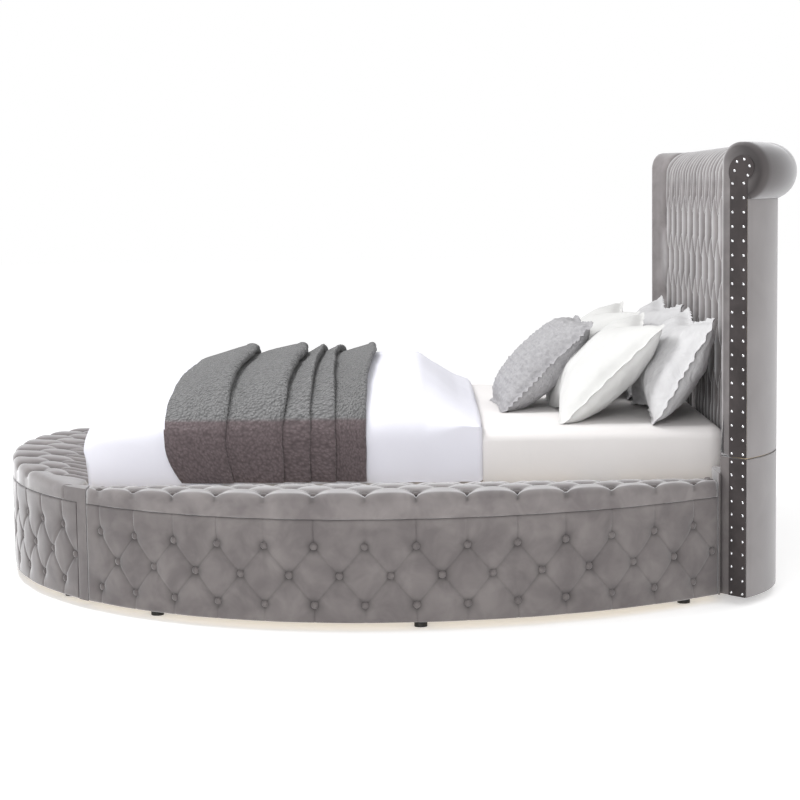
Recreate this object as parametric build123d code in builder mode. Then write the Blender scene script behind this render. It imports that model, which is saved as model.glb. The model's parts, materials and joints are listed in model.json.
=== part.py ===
from build123d import *
import os
from math import acos, asin, cos, degrees, hypot, pi, radians, sin, sqrt

# Round upholstered storage bed, in millimetres.
# The origin is on the floor at the centre of the ring. +Z is up, +Y points to the headboard
# and the foot of the bed is at -Y. The bed is the same left and right of X = 0.

# Ring plan: a true half circle at the foot, and a flatter arc from the widest point to the headboard
seam_y = -925.0
corner_width = 89.16
head_corner_width = 149.16
bench_head_gap = 58.0

# Heights
foot_height = 26.0
bench_height = 312.0
board_thickness = 14.0
lid_rise = 60.0
lid_low_rise = 22.0

# Walls, boards and upholstery
rail_thickness = 35.0
wall_thickness = 12.0
floor_thickness = 12.0
end_thickness = 15.0
pad_thickness = 24.0
pad_slack = 0.8
pad_edge_round = 4.0
pad_end_crown = 2.0
foot_pad_end_gap = 4.0
foot_pad_end_depth = 16.0
lid_rim = 14.0
lid_edge_radius = 16.0

# Clearances
seat_gap = 0.3
mattress_side_gap = 15.0
mattress_end_gap = 9.0
mattress_head_gap = 2.0
lid_end_gap = 2.0
overrun = 60.0

# Tufting of the benches and lids
side_tuft_pitch = 154.0
side_tuft_start = 62.0
foot_tuft_pitch = 150.4
tuft_end_room = 20.0
tuft_row_rises = (53.0, 142.0, 230.0)
tuft_depth = 14.0
pleat_depth = 9.0
button_radius = 11.5
button_height = 7.0
button_sides = 6
button_lift = 0.1
lid_button_lift = 0.2
side_lid_row_shares = (0.14, 0.35, 0.56, 0.77)
foot_lid_row_shares = (0.18, 0.45, 0.72)
lid_tuft_fade = 0.25
lid_button_width = 150.0
lid_tip_depth = 45.0
lid_crown_share = 0.012

# Bench feet
bench_foot_radius = 20.0
bench_foot_inset = 76.0
side_foot_shares = (0.112, 0.534, 0.964)
foot_foot_turn = 55.0

# Lid hinges: two butt hinges on each lid
hinge_leaf_width = 24.0
hinge_leaf_thickness = 1.5
hinge_length = 120.0
knuckle_radius = 3.5
knuckle_sides = 8
hinge_pin_radius = 1.7
hinge_pin_clearance = 0.08
knuckle_gap = 0.5
hinge_share = 0.32
lid_hinge_setback = 5.0

# Mattress and what carries it
mattress_width = 1524.0
mattress_length = 2032.0
mattress_height = 250.0
mattress_corner = 60.0
mattress_edge = 28.0
mattress_bottom = 285.0
slat_thickness = 20.0
slat_width = 90.0
slat_count = 13
ledger_width = 30.0
ledger_height = 30.0
centre_rail_width = 60.0
centre_rail_height = 80.0
centre_leg_radius = 25.0
centre_leg_count = 3

# Headboard plan
board_depth = 167.0
front_flat_inset = 21.0
front_bend_radius = 231.0
front_bend_angle = 38.0
back_flat_inset = 125.0
back_bend_radius = 492.0
back_bend_angle = 45.0

# Headboard heights
headboard_height = 1438.0
headboard_joint = 462.0
headboard_joint_gap = 5.0
scroll_radius = 90.0
scroll_overhang = 60.0
crest_share = 0.6
crest_steps = 4
roll_steps = 7
front_pad_thickness = 40.0
front_pad_top = 1334.0
back_cover_thickness = 5.0
scroll_pleat = 9.0

# Headboard tufting
head_tuft_pitch = 150.0
head_tuft_step = 140.0
head_tuft_top = 1304.0
head_tuft_rows = 6
head_tuft_depth = 26.0
head_pleat_depth = 12.0
head_edge_roll = 26.0
head_edge_crown = 4.0
head_edge_fall = 9.0

# Nail strips on the headboard's ends
strip_start = 38.0
strip_end = 104.0
strip_thickness = 4.0
strip_drop = 42.0
strip_hook = 24.0
strip_hook_height = 74.0
nail_radius = 5.5
nail_height = 3.0
nail_sides = 4
nail_margin = 11.0
hook_nail_count = 5
hook_nail_start = 190.0
hook_nail_step = 58.0
hook_nail_middle = 86.0
hook_nail_radius = 30.0
upper_nail_pitch = 42.0
lower_nail_pitch = 39.0

# Hidden headboard fittings
dowel_radius = 8.0
dowel_sides = 8
dowel_reach = 60.0
dowel_pitch = 400.0
dowel_count = 4
bracket_leg = 50.0
bracket_height = 120.0
bracket_thickness = 4.0
bracket_base = 100.0
glide_radius = 22.0
glide_pitch = 460.0
glide_count = 4

# Bedding
bedding_gap = 27.0
duvet_hem_rise = 19.7
duvet_crown_rise = 177.0
duvet_shoulder_rise = 25.0
duvet_foot_overhang = 17.0
duvet_head_y = 330.0
duvet_shares = (
    (0.0, 0.36), (0.03, 0.66), (0.08, 0.9), (0.15, 1.0), (0.85, 1.0), (0.92, 0.62), (1.0, 0.25),
)
crown_shares = (0.25, 0.5, 0.75, 1.0)
shoulder_inset = 60.0
shoulder_drop = 80.0
throw_foot_y = -700.0
throw_head_y = -20.0
throw_fold_count = 5
throw_fold_rise = 34.0
throw_thickness = 7.0

# Pillows: outline, thickness, the middle's x, its distance from the headboard and the lean from level
pillow_waist_share = 0.07
pillow_side_shares = (0.0, 0.2, 0.5, 0.8)
pillow_shares = (
    (0.35, -1.0), (0.66, -0.84), (0.88, -0.46), (1.0, 0.0), (0.88, 0.46), (0.66, 0.84), (0.35, 1.0),
)
ruffled_width = 460.0
ruffled_height = 450.0
ruffled_thickness = 140.0
ruffled_x = 30.0
ruffled_setback = 566.0
ruffled_lean_angle = 44.0
pillow_width = 660.0
pillow_height = 460.0
pillow_thickness = 140.0
pillow_x = 335.0
pillow_setback = 360.0
pillow_lean_angle = 45.0
far_pillow_x = -385.0
sham_width = 700.0
sham_height = 390.0
sham_thickness = 165.0
sham_x = 385.0
sham_setback = 134.0
sham_lean_angle = 60.0

# Worked out from the driving sizes
wall_top = foot_height + bench_height
board_bottom = wall_top + seat_gap
rail_top = board_bottom + board_thickness
hinge_height = rail_top + knuckle_radius
rail_inner_x = mattress_width / 2 + mattress_side_gap
rail_outer_x = rail_inner_x + rail_thickness
foot_rail_y = seam_y - rail_thickness
mattress_top = mattress_bottom + mattress_height
mattress_foot_y = seam_y + mattress_end_gap
mattress_head_y = mattress_foot_y + mattress_length
board_front_y = mattress_head_y + mattress_head_gap
bench_head_y = board_front_y - bench_head_gap
ring_radius = hypot(rail_outer_x, seam_y) + corner_width
head_arc_width = ring_radius - rail_outer_x - head_corner_width
head_arc_radius = (head_arc_width**2 + bench_head_y**2) / (2 * head_arc_width)
head_arc_x = ring_radius - head_arc_radius
side_lid_x = rail_outer_x + lid_hinge_setback
foot_lid_y = foot_rail_y - lid_hinge_setback
foot_lid_half = sqrt(ring_radius**2 - (lid_tip_depth - foot_lid_y) ** 2)
lid_top = rail_top + lid_rise
lid_low = rail_top + lid_low_rise
front_flat = rail_outer_x - front_flat_inset
back_flat = front_flat - back_flat_inset
board_back_y = board_front_y + board_depth
front_bend_y = board_front_y - front_bend_radius
back_bend_y = board_back_y - back_bend_radius
scroll_height = headboard_height - scroll_radius
strip_top = headboard_height - strip_drop
foot_arc_turn = asin(-seam_y / ring_radius)
foot_arc_run = ring_radius * foot_arc_turn
head_arc_run = head_arc_radius * asin(bench_head_y / head_arc_radius)
side_run = foot_arc_run + head_arc_run
foot_half_turn = pi / 2 - asin(-foot_rail_y / ring_radius)
foot_run = 2 * ring_radius * foot_half_turn
bedding_half_width = rail_outer_x - bedding_gap
duvet_hem = rail_top + duvet_hem_rise
duvet_crown = mattress_top + duvet_crown_rise
duvet_shoulder = mattress_top + duvet_shoulder_rise
duvet_foot_y = seam_y - duvet_foot_overhang
far = 2 * ring_radius

os.makedirs("parts", exist_ok=True)


def keep(part, name):
    """Label one finished piece and write its file."""
    part.label = name
    export_step(part, f"parts/{name}.step")


def keep_pair(part, name):
    """Write the right-hand piece, and its mirror image as the left-hand one."""
    keep(part, f"{name}_right")
    keep(mirror(part, about=Plane.YZ), f"{name}_left")


# Ring outline and bands


def ring_plan(inset, head_y):
    """Right half of the ring's plan, drawn in by inset, from the foot to head_y, mirrored whole."""
    radius = ring_radius - inset
    head_radius = head_arc_radius - inset
    head_turn = asin(head_y / head_radius)
    end_x = head_arc_x + head_radius * cos(head_turn)
    with BuildSketch(mode=Mode.PRIVATE) as plan:
        with BuildLine():
            CenterArc((0, 0), radius, -90, 90)
            CenterArc((head_arc_x, 0), head_radius, 0, degrees(head_turn))
            Polyline((end_x, head_y), (0, head_y), (0, -radius))
        make_face()
        mirror(about=Plane.YZ)
    return plan.sketch


def ring_zone(outer_inset, inner_inset, low_x, high_x, low_y, high_y):
    """The part of the ring between two insets that lies inside a rectangle; no inner_inset fills it."""
    with BuildSketch(mode=Mode.PRIVATE) as zone:
        add(ring_plan(outer_inset, board_front_y))
        if inner_inset is not None:
            add(ring_plan(inner_inset, board_front_y + overrun), mode=Mode.SUBTRACT)
        with Locations(((low_x + high_x) / 2, (low_y + high_y) / 2)):
            Rectangle(high_x - low_x, high_y - low_y, mode=Mode.INTERSECT)
    return zone.sketch


def side_zone(outer_inset, inner_inset=None, low_x=0.0, end_gap=0.0):
    """A plan band of the right-hand bench."""
    return ring_zone(outer_inset, inner_inset, low_x, far, seam_y + end_gap, bench_head_y - end_gap)


def foot_zone(outer_inset, inner_inset=None, front_y=foot_rail_y):
    """A plan band of the foot bench."""
    return ring_zone(outer_inset, inner_inset, -far, far, -far, front_y)


def upright(plan, low, high):
    """A plan drawn up from one height to another."""
    with BuildPart() as block:
        with BuildSketch(Plane.XY.offset(low)):
            add(plan)
        extrude(amount=high - low)
    return block.part


# Stations along the ring: a point on its outer line, and the outward direction there


def side_station(run, inset=0.0):
    """Right-hand bench, run mm along the outer line from the foot seam."""
    if run < foot_arc_run:
        turn = run / ring_radius - foot_arc_turn
        radius = ring_radius - inset
        return (radius * cos(turn), radius * sin(turn)), (cos(turn), sin(turn))
    turn = (run - foot_arc_run) / head_arc_radius
    radius = head_arc_radius - inset
    return (head_arc_x + radius * cos(turn), radius * sin(turn)), (cos(turn), sin(turn))


def foot_station(run, inset=0.0):
    """Foot bench, run mm either way from the middle of the foot."""
    turn = run / ring_radius - pi / 2
    radius = ring_radius - inset
    return (radius * cos(turn), radius * sin(turn)), (cos(turn), sin(turn))


# Tufting. A pad runs through sections at every half pitch. A section that passes through the buttons of
# the outer rows is deep there and full at the middle row, and the next one is the reverse. Each
# four-cornered field between two sections is folded inwards, so its crease joins two buttons.


def section_points(origin, across, points):
    """Points of a section on an upright plane, given as distance across and height."""
    return [Vector(origin[0] + across[0] * x, origin[1] + across[1] * x, z) for x, z in points]


def lofted(sections):
    """One flat-sided solid through closed sections that have the same number of points."""
    count = len(sections[0])
    fields = []
    for near, distant in zip(sections, sections[1:]):
        for index in range(count):
            follow = (index + 1) % count
            fields.append((near[index], near[follow], distant[follow], distant[index]))
    volume = sum(a.dot(b.cross(c)) + a.dot(c.cross(d)) for a, b, c, d in fields)
    faces = [Face(Wire.make_polygon(end)) for end in (sections[0], sections[-1])]
    for a, b, c, d in fields:
        fold = (b - a).cross(c - a).dot(d - a)
        if fold * volume > 0:
            corners = ((a, b, c), (a, c, d))
        else:
            corners = ((a, b, d), (b, c, d))
        faces += [Face(Wire.make_polygon(corner)) for corner in corners]
    with BuildPart() as body:
        add(Solid(Shell(faces)))
    return body.part


def low_pyramid(radius, height, sides):
    """A small flat-sided dome that stands on the origin."""
    rim = [
        Vector(radius * cos(2 * pi * index / sides), radius * sin(2 * pi * index / sides), 0)
        for index in range(sides)
    ]
    top = Vector(0, 0, height)
    faces = [Face(Wire.make_polygon(rim))]
    for corner, follow in zip(rim, rim[1:] + rim[:1]):
        faces.append(Face(Wire.make_polygon((corner, follow, top))))
    with BuildPart() as shape:
        add(Solid(Shell(faces)))
    return shape.part


def button_seat(point, normal, depth, half_pitch, row_step, lift=button_lift):
    """Plane of a button's back, pulled in until its rim meets the upholstery."""
    rim_rise = depth * button_radius / min(half_pitch, row_step)
    sunk = depth - rim_rise - lift
    origin = tuple(place - sunk * part for place, part in zip(point, normal))
    return Plane(origin=origin, z_dir=normal)


def button_group(seats):
    """One button on every seat."""
    button = low_pyramid(button_radius, button_height, button_sides)
    with BuildPart() as group:
        with Locations(*seats):
            add(button)
    return group.part


# Outer pads of the benches

row_heights = [foot_height + rise for rise in tuft_row_rises]
row_step = (row_heights[2] - row_heights[0]) / 2


def bench_pad(station, runs, backs, first_is_outer, end_points):
    """A bench's outer pad, backs deep at its stations. end_points are the plan points of its ends."""
    low, middle, high = row_heights
    sections = []
    for index, (run, inner) in enumerate(zip(runs, backs)):
        is_outer = (index % 2 == 0) == first_is_outer
        outer_depth, middle_depth = (tuft_depth, 0) if is_outer else (0, tuft_depth)
        edge_depth = pad_edge_round + (pleat_depth if is_outer else 0)
        (x, y), (nx, ny) = station(run)
        sections.append(section_points((x, y), (-nx, -ny), [
            (inner, foot_height),
            (edge_depth, foot_height),
            (outer_depth, low),
            (middle_depth, middle),
            (outer_depth, high),
            (edge_depth, wall_top),
            (inner, wall_top),
        ]))
    for place, (outer_xy, inner_xy) in zip((0, len(sections) + 1), end_points):
        across = (inner_xy[0] - outer_xy[0], inner_xy[1] - outer_xy[1])
        width = hypot(*across)
        across = (across[0] / width, across[1] / width)
        plain = section_points(outer_xy, across, [
            (width, foot_height),
            (pad_edge_round, foot_height),
            (pad_end_crown, low),
            (0, middle),
            (pad_end_crown, high),
            (pad_edge_round, wall_top),
            (width, wall_top),
        ])
        sections.insert(place, plain)
    return lofted(sections)


def ring_x(y, inset=0.0):
    """X of the ring's outer line, drawn in by inset, at a given y."""
    if y < 0:
        return sqrt((ring_radius - inset) ** 2 - y**2)
    return head_arc_x + sqrt((head_arc_radius - inset) ** 2 - y**2)


def ring_y(x, inset=0.0):
    """Y of the foot's outer line, drawn in by inset, at a given x."""
    return -sqrt((ring_radius - inset) ** 2 - x**2)


def bench_button_seats(station, runs, first_is_outer, half_pitch, end_run):
    """Seats of a bench's buttons. end_run is where the pad ends, past the last station."""
    low, middle, high = row_heights
    seats = []
    for index, run in enumerate(runs):
        is_outer = (index % 2 == 0) == first_is_outer
        reach = min(half_pitch, end_run - abs(run))
        for height in (low, high) if is_outer else (middle,):
            (x, y), (nx, ny) = station(run)
            seats.append(button_seat((x, y, height), (nx, ny, 0), tuft_depth, reach, row_step))
    return seats


pad_back = pad_thickness - pad_slack
side_half = side_tuft_pitch / 2
side_count = int((side_run - side_tuft_start - tuft_end_room) / side_half) + 1
side_runs = [side_tuft_start + index * side_half for index in range(side_count)]
side_ends = [
    ((ring_x(seam_y), seam_y), (ring_x(seam_y, pad_back), seam_y)),
    ((ring_x(bench_head_y), bench_head_y), (ring_x(bench_head_y, pad_back), bench_head_y)),
]
side_backs = [pad_back] * side_count
keep_pair(bench_pad(side_station, side_runs, side_backs, True, side_ends), "bench_pad")
side_seats = bench_button_seats(side_station, side_runs, True, side_half, side_run)
keep_pair(button_group(side_seats), "bench_buttons")

foot_half = foot_tuft_pitch / 2
foot_count = int((foot_run / 2 - tuft_end_room) / foot_half)
foot_runs = [index * foot_half for index in range(-foot_count, foot_count + 1)]
foot_first_is_outer = foot_count % 2 == 0
foot_backs = []
for run in foot_runs:
    (x, y), (nx, ny) = foot_station(run)
    foot_backs.append(min(pad_back, (y - foot_rail_y) / ny - foot_pad_end_gap))
foot_end_x = ring_x(foot_rail_y)
foot_back_x = ring_x(foot_rail_y, foot_pad_end_depth)
foot_ends = [
    ((-foot_end_x, foot_rail_y), (-foot_back_x, foot_rail_y)),
    ((foot_end_x, foot_rail_y), (foot_back_x, foot_rail_y)),
]
keep(
    bench_pad(foot_station, foot_runs, foot_backs, foot_first_is_outer, foot_ends), "bench_pad_foot"
)
foot_seats = bench_button_seats(
    foot_station, foot_runs, foot_first_is_outer, foot_half, foot_run / 2
)
keep(button_group(foot_seats), "bench_buttons_foot")

# Plywood walls and floors inside the upholstery
wall_inset = pad_thickness + seat_gap
wall_inner_inset = wall_inset + wall_thickness
floor_inset = wall_inner_inset + seat_gap
floor_top = foot_height + floor_thickness
keep_pair(upright(side_zone(wall_inset, wall_inner_inset), foot_height, wall_top), "bench_wall")
keep(upright(foot_zone(wall_inset, wall_inner_inset), foot_height, wall_top), "bench_wall_foot")
keep_pair(
    upright(side_zone(floor_inset, low_x=rail_outer_x), foot_height, floor_top), "bench_floor"
)
keep(upright(foot_zone(floor_inset), foot_height, floor_top), "bench_floor_foot")

end_plan_foot = ring_zone(
    floor_inset, None, rail_outer_x, far, seam_y, seam_y + end_thickness
)
end_plan_head = ring_zone(
    floor_inset, None, rail_outer_x, far, bench_head_y - end_thickness, bench_head_y
)
with BuildPart() as bench_ends:
    add(upright(end_plan_foot, floor_top, wall_top))
    add(upright(end_plan_head, floor_top, wall_top))
keep_pair(bench_ends.part, "bench_ends")

# Inner walls, which are the rails round the mattress
rail_past_flat = max(0, rail_outer_x - front_flat)
board_fall = front_bend_radius - sqrt(front_bend_radius**2 - rail_past_flat**2)
rail_length = board_front_y - board_fall - seat_gap / 2 - seam_y
with BuildPart() as side_rail:
    with BuildSketch(Plane.XY.offset(foot_height)):
        with Locations(((rail_inner_x + rail_outer_x) / 2, seam_y + rail_length / 2)):
            Rectangle(rail_thickness, rail_length)
    extrude(amount=rail_top - foot_height)
keep_pair(side_rail.part, "bench_rail")

foot_post_x = foot_lid_half + lid_end_gap
foot_rail_half = min(foot_post_x, sqrt((ring_radius - wall_inner_inset) ** 2 - foot_rail_y**2)) - seat_gap
with BuildPart() as foot_rail:
    with BuildSketch(Plane.XY.offset(foot_height)):
        with Locations((0, (seam_y + foot_rail_y) / 2)):
            Rectangle(2 * foot_rail_half, rail_thickness)
    extrude(amount=rail_top - foot_height)
keep(foot_rail.part, "bench_rail_foot")


def foot_group(places):
    """Round feet under a bench."""
    with BuildPart() as feet:
        with BuildSketch():
            with Locations(*places):
                Circle(bench_foot_radius)
        extrude(amount=foot_height)
    return feet.part


side_foot_places = [
    side_station(share * side_run, bench_foot_inset)[0] for share in side_foot_shares
]
keep_pair(foot_group(side_foot_places), "bench_feet")
foot_foot_radius = ring_radius - bench_foot_inset
foot_foot_x = foot_foot_radius * cos(radians(foot_foot_turn))
foot_foot_y = -foot_foot_radius * sin(radians(foot_foot_turn))
foot_foot_places = [(-foot_foot_x, foot_foot_y), (0, -foot_foot_radius), (foot_foot_x, foot_foot_y)]
keep(foot_group(foot_foot_places), "bench_feet_foot")


# Headboard plan, used by the end posts as well


def headboard_plan(front_inset, back_inset, end_inset):
    """Plan of the headboard, drawn in from its front, back and ends."""
    front_radius = front_bend_radius + front_inset
    back_radius = back_bend_radius - back_inset
    front_turn = radians(front_bend_angle) - end_inset / front_radius
    back_turn = radians(back_bend_angle) - end_inset / back_radius
    front_y = board_front_y + front_inset
    back_y = board_back_y - back_inset
    tip = (front_flat + front_radius * sin(front_turn), front_bend_y + front_radius * cos(front_turn))
    heel = (back_flat + back_radius * sin(back_turn), back_bend_y + back_radius * cos(back_turn))
    with BuildSketch(mode=Mode.PRIVATE) as plan:
        with BuildLine():
            Line((0, front_y), (front_flat, front_y))
            CenterArc((front_flat, front_bend_y), front_radius, 90, -degrees(front_turn))
            Line(tip, heel)
            CenterArc((back_flat, back_bend_y), back_radius, 90 - degrees(back_turn), degrees(back_turn))
            Polyline((back_flat, back_y), (0, back_y), (0, front_y))
        make_face()
        mirror(about=Plane.YZ)
    return plan.sketch


tip_x = front_flat + front_bend_radius * sin(radians(front_bend_angle))
tip_y = front_bend_y + front_bend_radius * cos(radians(front_bend_angle))
heel_x = back_flat + back_bend_radius * sin(radians(back_bend_angle))
heel_y = back_bend_y + back_bend_radius * cos(radians(back_bend_angle))
end_width = hypot(heel_x - tip_x, heel_y - tip_y)
end_run = ((heel_x - tip_x) / end_width, (heel_y - tip_y) / end_width)
end_normal = (end_run[1], -end_run[0], 0)

# Plain upholstered posts: two at the foot seams, and two that fill the side benches' ends up to the
# headboard's bent front
post_head_y = tip_y - lid_end_gap
post_top = lid_low + (lid_top - lid_low) / 4
with BuildPart() as end_posts:
    with BuildSketch(Plane.XY.offset(foot_height)):
        add(ring_zone(0, None, foot_post_x, far, foot_rail_y + seat_gap, seam_y - seat_gap))
    extrude(amount=board_bottom - foot_height)
    with BuildSketch(Plane.XY.offset(board_bottom)):
        add(ring_zone(0, None, foot_post_x, far, -far, seam_y - seat_gap))
    extrude(amount=post_top - board_bottom)
    with BuildSketch(Plane.XY.offset(foot_height)):
        add(ring_zone(0, None, rail_outer_x + seat_gap, far, bench_head_y + seat_gap, post_head_y))
        add(ring_zone(0, None, rail_outer_x + seat_gap, tip_x, post_head_y, board_front_y))
        add(headboard_plan(-lid_end_gap, 0, -lid_end_gap), mode=Mode.SUBTRACT)
    extrude(amount=lid_top - foot_height)
    mirror(about=Plane.YZ)
keep(end_posts.part, "end_posts")

# Lids. Each is lofted through sections at the bench's own button stations, so its pleats line up with
# the ones below. A section runs up the outer band, inwards over the tufts and down to the hinge edge,
# and leaves the rebate that holds the board.


def lid_surface(width, slope, depth_in):
    """Height of the lid's untufted top, depth_in mm from the outer edge: a slope with a slight crown."""
    rest = width - depth_in
    return lid_low + rest * slope + 4 * lid_crown_share * depth_in * rest / width


def lid_section(origin, inward, width, slope, depth_share, is_outer, row_shares):
    """A lid's section at a place where it is width wide; depth_share fades the tufts and pleats."""
    band = pleat_depth * depth_share if is_outer else 0
    edge_top = lid_surface(width, slope, lid_edge_radius) - band
    points = [
        (width, slot_top),
        (width - leaf_slot, slot_top),
        (width - leaf_slot, rail_top),
        (lid_rim, rail_top),
        (lid_rim, board_bottom),
        (band, board_bottom),
        (band, edge_top - lid_edge_radius),
        (lid_edge_radius, edge_top),
    ]
    for row, share in enumerate(row_shares):
        depth_in = lid_edge_radius + share * (width - lid_edge_radius)
        is_deep = (row % 2 == 0) == is_outer
        fall = tuft_depth * depth_share if is_deep else 0
        points.append((depth_in, lid_surface(width, slope, depth_in) - fall))
    points.append((width, lid_low))
    return section_points(origin, inward, points)


def lid_pad(places, inward, full_width, row_shares):
    """places are (outer point, width, is_outer, is_plain), in order along the lid."""
    slope = (lid_rise - lid_low_rise) / full_width
    sections = []
    for origin, width, is_outer, is_plain in places:
        fade = 0 if is_plain else min(1, width / full_width + lid_tuft_fade)
        sections.append(lid_section(origin, inward, width, slope, fade, is_outer, row_shares))
    return lofted(sections)


def lid_button_seats(places, inward, full_width, row_shares):
    """A seat at every deep point of the lid, where the lid is wide enough for a button."""
    slope = (lid_rise - lid_low_rise) / full_width
    length = hypot(slope, 1)
    normal = (slope * inward[0] / length, slope * inward[1] / length, 1 / length)
    along = [x * inward[1] + y * inward[0] for (x, y), *_ in places]
    seats = []
    for index, (origin, width, is_outer, is_plain) in enumerate(places):
        if is_plain or width < lid_button_width:
            continue
        reach = min(abs(along[index] - along[index - 1]), abs(along[index + 1] - along[index]))
        fade = min(1, width / full_width + lid_tuft_fade)
        spacing = (row_shares[1] - row_shares[0]) * width
        for row, row_share in enumerate(row_shares):
            if (row % 2 == 0) != is_outer:
                continue
            depth_in = lid_edge_radius + row_share * (width - lid_edge_radius)
            point = (
                origin[0] + inward[0] * depth_in,
                origin[1] + inward[1] * depth_in,
                lid_surface(width, slope, depth_in),
            )
            depth = tuft_depth * fade
            seats.append(button_seat(point, normal, depth, reach, spacing, lid_button_lift))
    return seats


slot_top = rail_top + hinge_leaf_thickness + seat_gap
leaf_slot = hinge_leaf_width + knuckle_gap - lid_hinge_setback + seat_gap
side_places = []
for index, run in enumerate(side_runs):
    (x, y), _ = side_station(run)
    side_places.append(((x, y), x - side_lid_x, index % 2 == 0, False))
for place, y in ((0, seam_y + lid_end_gap), (len(side_places) + 1, bench_head_y - lid_end_gap)):
    side_places.insert(place, ((ring_x(y), y), ring_x(y) - side_lid_x, False, True))

foot_places = []
for index, run in enumerate(foot_runs):
    (x, y), _ = foot_station(run)
    if abs(x) < foot_lid_half - button_radius:
        is_outer = (index % 2 == 0) == foot_first_is_outer
        foot_places.append(((x, y), foot_lid_y - y, is_outer, False))
for place, x in ((0, -foot_lid_half), (len(foot_places) + 1, foot_lid_half)):
    foot_places.insert(place, ((x, ring_y(x)), foot_lid_y - ring_y(x), False, True))

side_lid_width = ring_radius - side_lid_x
foot_lid_width = ring_radius + foot_lid_y
keep_pair(lid_pad(side_places, (-1, 0), side_lid_width, side_lid_row_shares), "lid_pad")
keep(lid_pad(foot_places, (0, 1), foot_lid_width, foot_lid_row_shares), "lid_pad_foot")
keep_pair(
    button_group(lid_button_seats(side_places, (-1, 0), side_lid_width, side_lid_row_shares)),
    "lid_buttons",
)
keep(
    button_group(lid_button_seats(foot_places, (0, 1), foot_lid_width, foot_lid_row_shares)),
    "lid_buttons_foot",
)

board_inset = lid_rim + pad_slack + seat_gap
side_board_plan = side_zone(board_inset, low_x=side_lid_x, end_gap=lid_end_gap)
keep_pair(upright(side_board_plan, board_bottom, rail_top), "lid_board")
with BuildSketch(mode=Mode.PRIVATE) as foot_board_plan:
    add(foot_zone(board_inset, front_y=foot_lid_y))
    with Locations((0, foot_lid_y)):
        Rectangle(2 * foot_lid_half, far, mode=Mode.INTERSECT)
keep(upright(foot_board_plan.sketch, board_bottom, rail_top), "lid_board_foot")

# Butt hinges. Each is drawn along its own X axis, with the fixed leaf on +Y and the lid's leaf on -Y.
knuckle_length = (hinge_length - 2 * knuckle_gap) / 3
knuckle_step = knuckle_length + knuckle_gap
leaf_rise = -knuckle_radius


def hinge_leaf(side, knuckle_offsets):
    """One leaf with its knuckles. The leaf stays clear of the other leaf's knuckles."""
    leaf_start = knuckle_radius + knuckle_gap
    leaf_width = hinge_leaf_width - knuckle_radius
    with BuildPart() as leaf:
        with BuildSketch(Plane.XY.offset(leaf_rise)):
            with Locations((0, side * (leaf_start + leaf_width / 2))):
                Rectangle(hinge_length, leaf_width)
        extrude(amount=hinge_leaf_thickness)
        for offset_x in knuckle_offsets:
            with BuildSketch(Plane.YZ.offset(offset_x - knuckle_length / 2)):
                RegularPolygon(knuckle_radius, knuckle_sides)
                with Locations((side * leaf_start / 2, leaf_rise + hinge_leaf_thickness / 2)):
                    Rectangle(leaf_start, hinge_leaf_thickness)
            extrude(amount=knuckle_length)
    return leaf.part


def fixed_hinge():
    """The leaf on the rail, with the two end knuckles and the pin that is fast in them."""
    with BuildPart() as fixed:
        add(hinge_leaf(1, (-knuckle_step, knuckle_step)))
        with BuildSketch(Plane.YZ.offset(-knuckle_step)):
            Circle(hinge_pin_radius)
        extrude(amount=2 * knuckle_step)
    return fixed.part


def moving_hinge():
    """The leaf under the lid's pad, with the middle knuckle, which is bored and turns on the pin."""
    with BuildPart() as moving:
        add(hinge_leaf(-1, (0,)))
        with BuildSketch(Plane.YZ.offset(-hinge_length)):
            Circle(hinge_pin_radius + hinge_pin_clearance)
        extrude(amount=2 * hinge_length, mode=Mode.SUBTRACT)
    return moving.part


side_hinge_middle = (seam_y + bench_head_y) / 2
side_hinge_spread = (bench_head_y - seam_y) * hinge_share
foot_hinge_spread = foot_rail_half * hinge_share * 2
side_hinge_places = [
    Plane(
        origin=(rail_outer_x, side_hinge_middle + offset_y, hinge_height),
        x_dir=(0, 1, 0),
        z_dir=(0, 0, 1),
    )
    for offset_y in (-side_hinge_spread, side_hinge_spread)
]
foot_hinge_places = [
    Plane(origin=(offset_x, foot_rail_y, hinge_height), x_dir=(1, 0, 0), z_dir=(0, 0, 1))
    for offset_x in (-foot_hinge_spread, foot_hinge_spread)
]


def placed(part, planes):
    """Copies of a part on several planes."""
    with BuildPart() as group:
        with Locations(*planes):
            add(part)
    return group.part


keep_pair(placed(fixed_hinge(), side_hinge_places), "hinge_leaf")
keep_pair(placed(moving_hinge(), side_hinge_places), "lid_hinge")
keep(placed(fixed_hinge(), foot_hinge_places), "hinge_leaf_foot")
keep(placed(moving_hinge(), foot_hinge_places), "lid_hinge_foot")

# Mattress support
ledger_top = mattress_bottom - slat_thickness
ledger_length = mattress_head_y - seam_y - mattress_end_gap
ledger_y = seam_y + ledger_length / 2
with BuildPart() as slat_ledgers:
    with BuildSketch(Plane.XY.offset(ledger_top - ledger_height)):
        with Locations((rail_inner_x - ledger_width / 2, ledger_y)):
            Rectangle(ledger_width, ledger_length)
    extrude(amount=ledger_height)
    mirror(about=Plane.YZ)
keep(slat_ledgers.part, "slat_ledgers")

slat_pitch = (mattress_length - slat_width) / (slat_count - 1)
with BuildPart() as slats:
    with BuildSketch(Plane.XY.offset(ledger_top)):
        with Locations((0, (mattress_foot_y + mattress_head_y) / 2)):
            with GridLocations(slat_pitch, slat_pitch, 1, slat_count):
                Rectangle(2 * (rail_inner_x - seat_gap), slat_width)
    extrude(amount=slat_thickness)
keep(slats.part, "slats")

with BuildPart() as centre_rail:
    with BuildSketch(Plane.XY.offset(ledger_top - centre_rail_height)):
        with Locations((0, (mattress_foot_y + mattress_head_y) / 2)):
            Rectangle(centre_rail_width, mattress_length)
    extrude(amount=centre_rail_height)
keep(centre_rail.part, "centre_rail")

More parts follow.
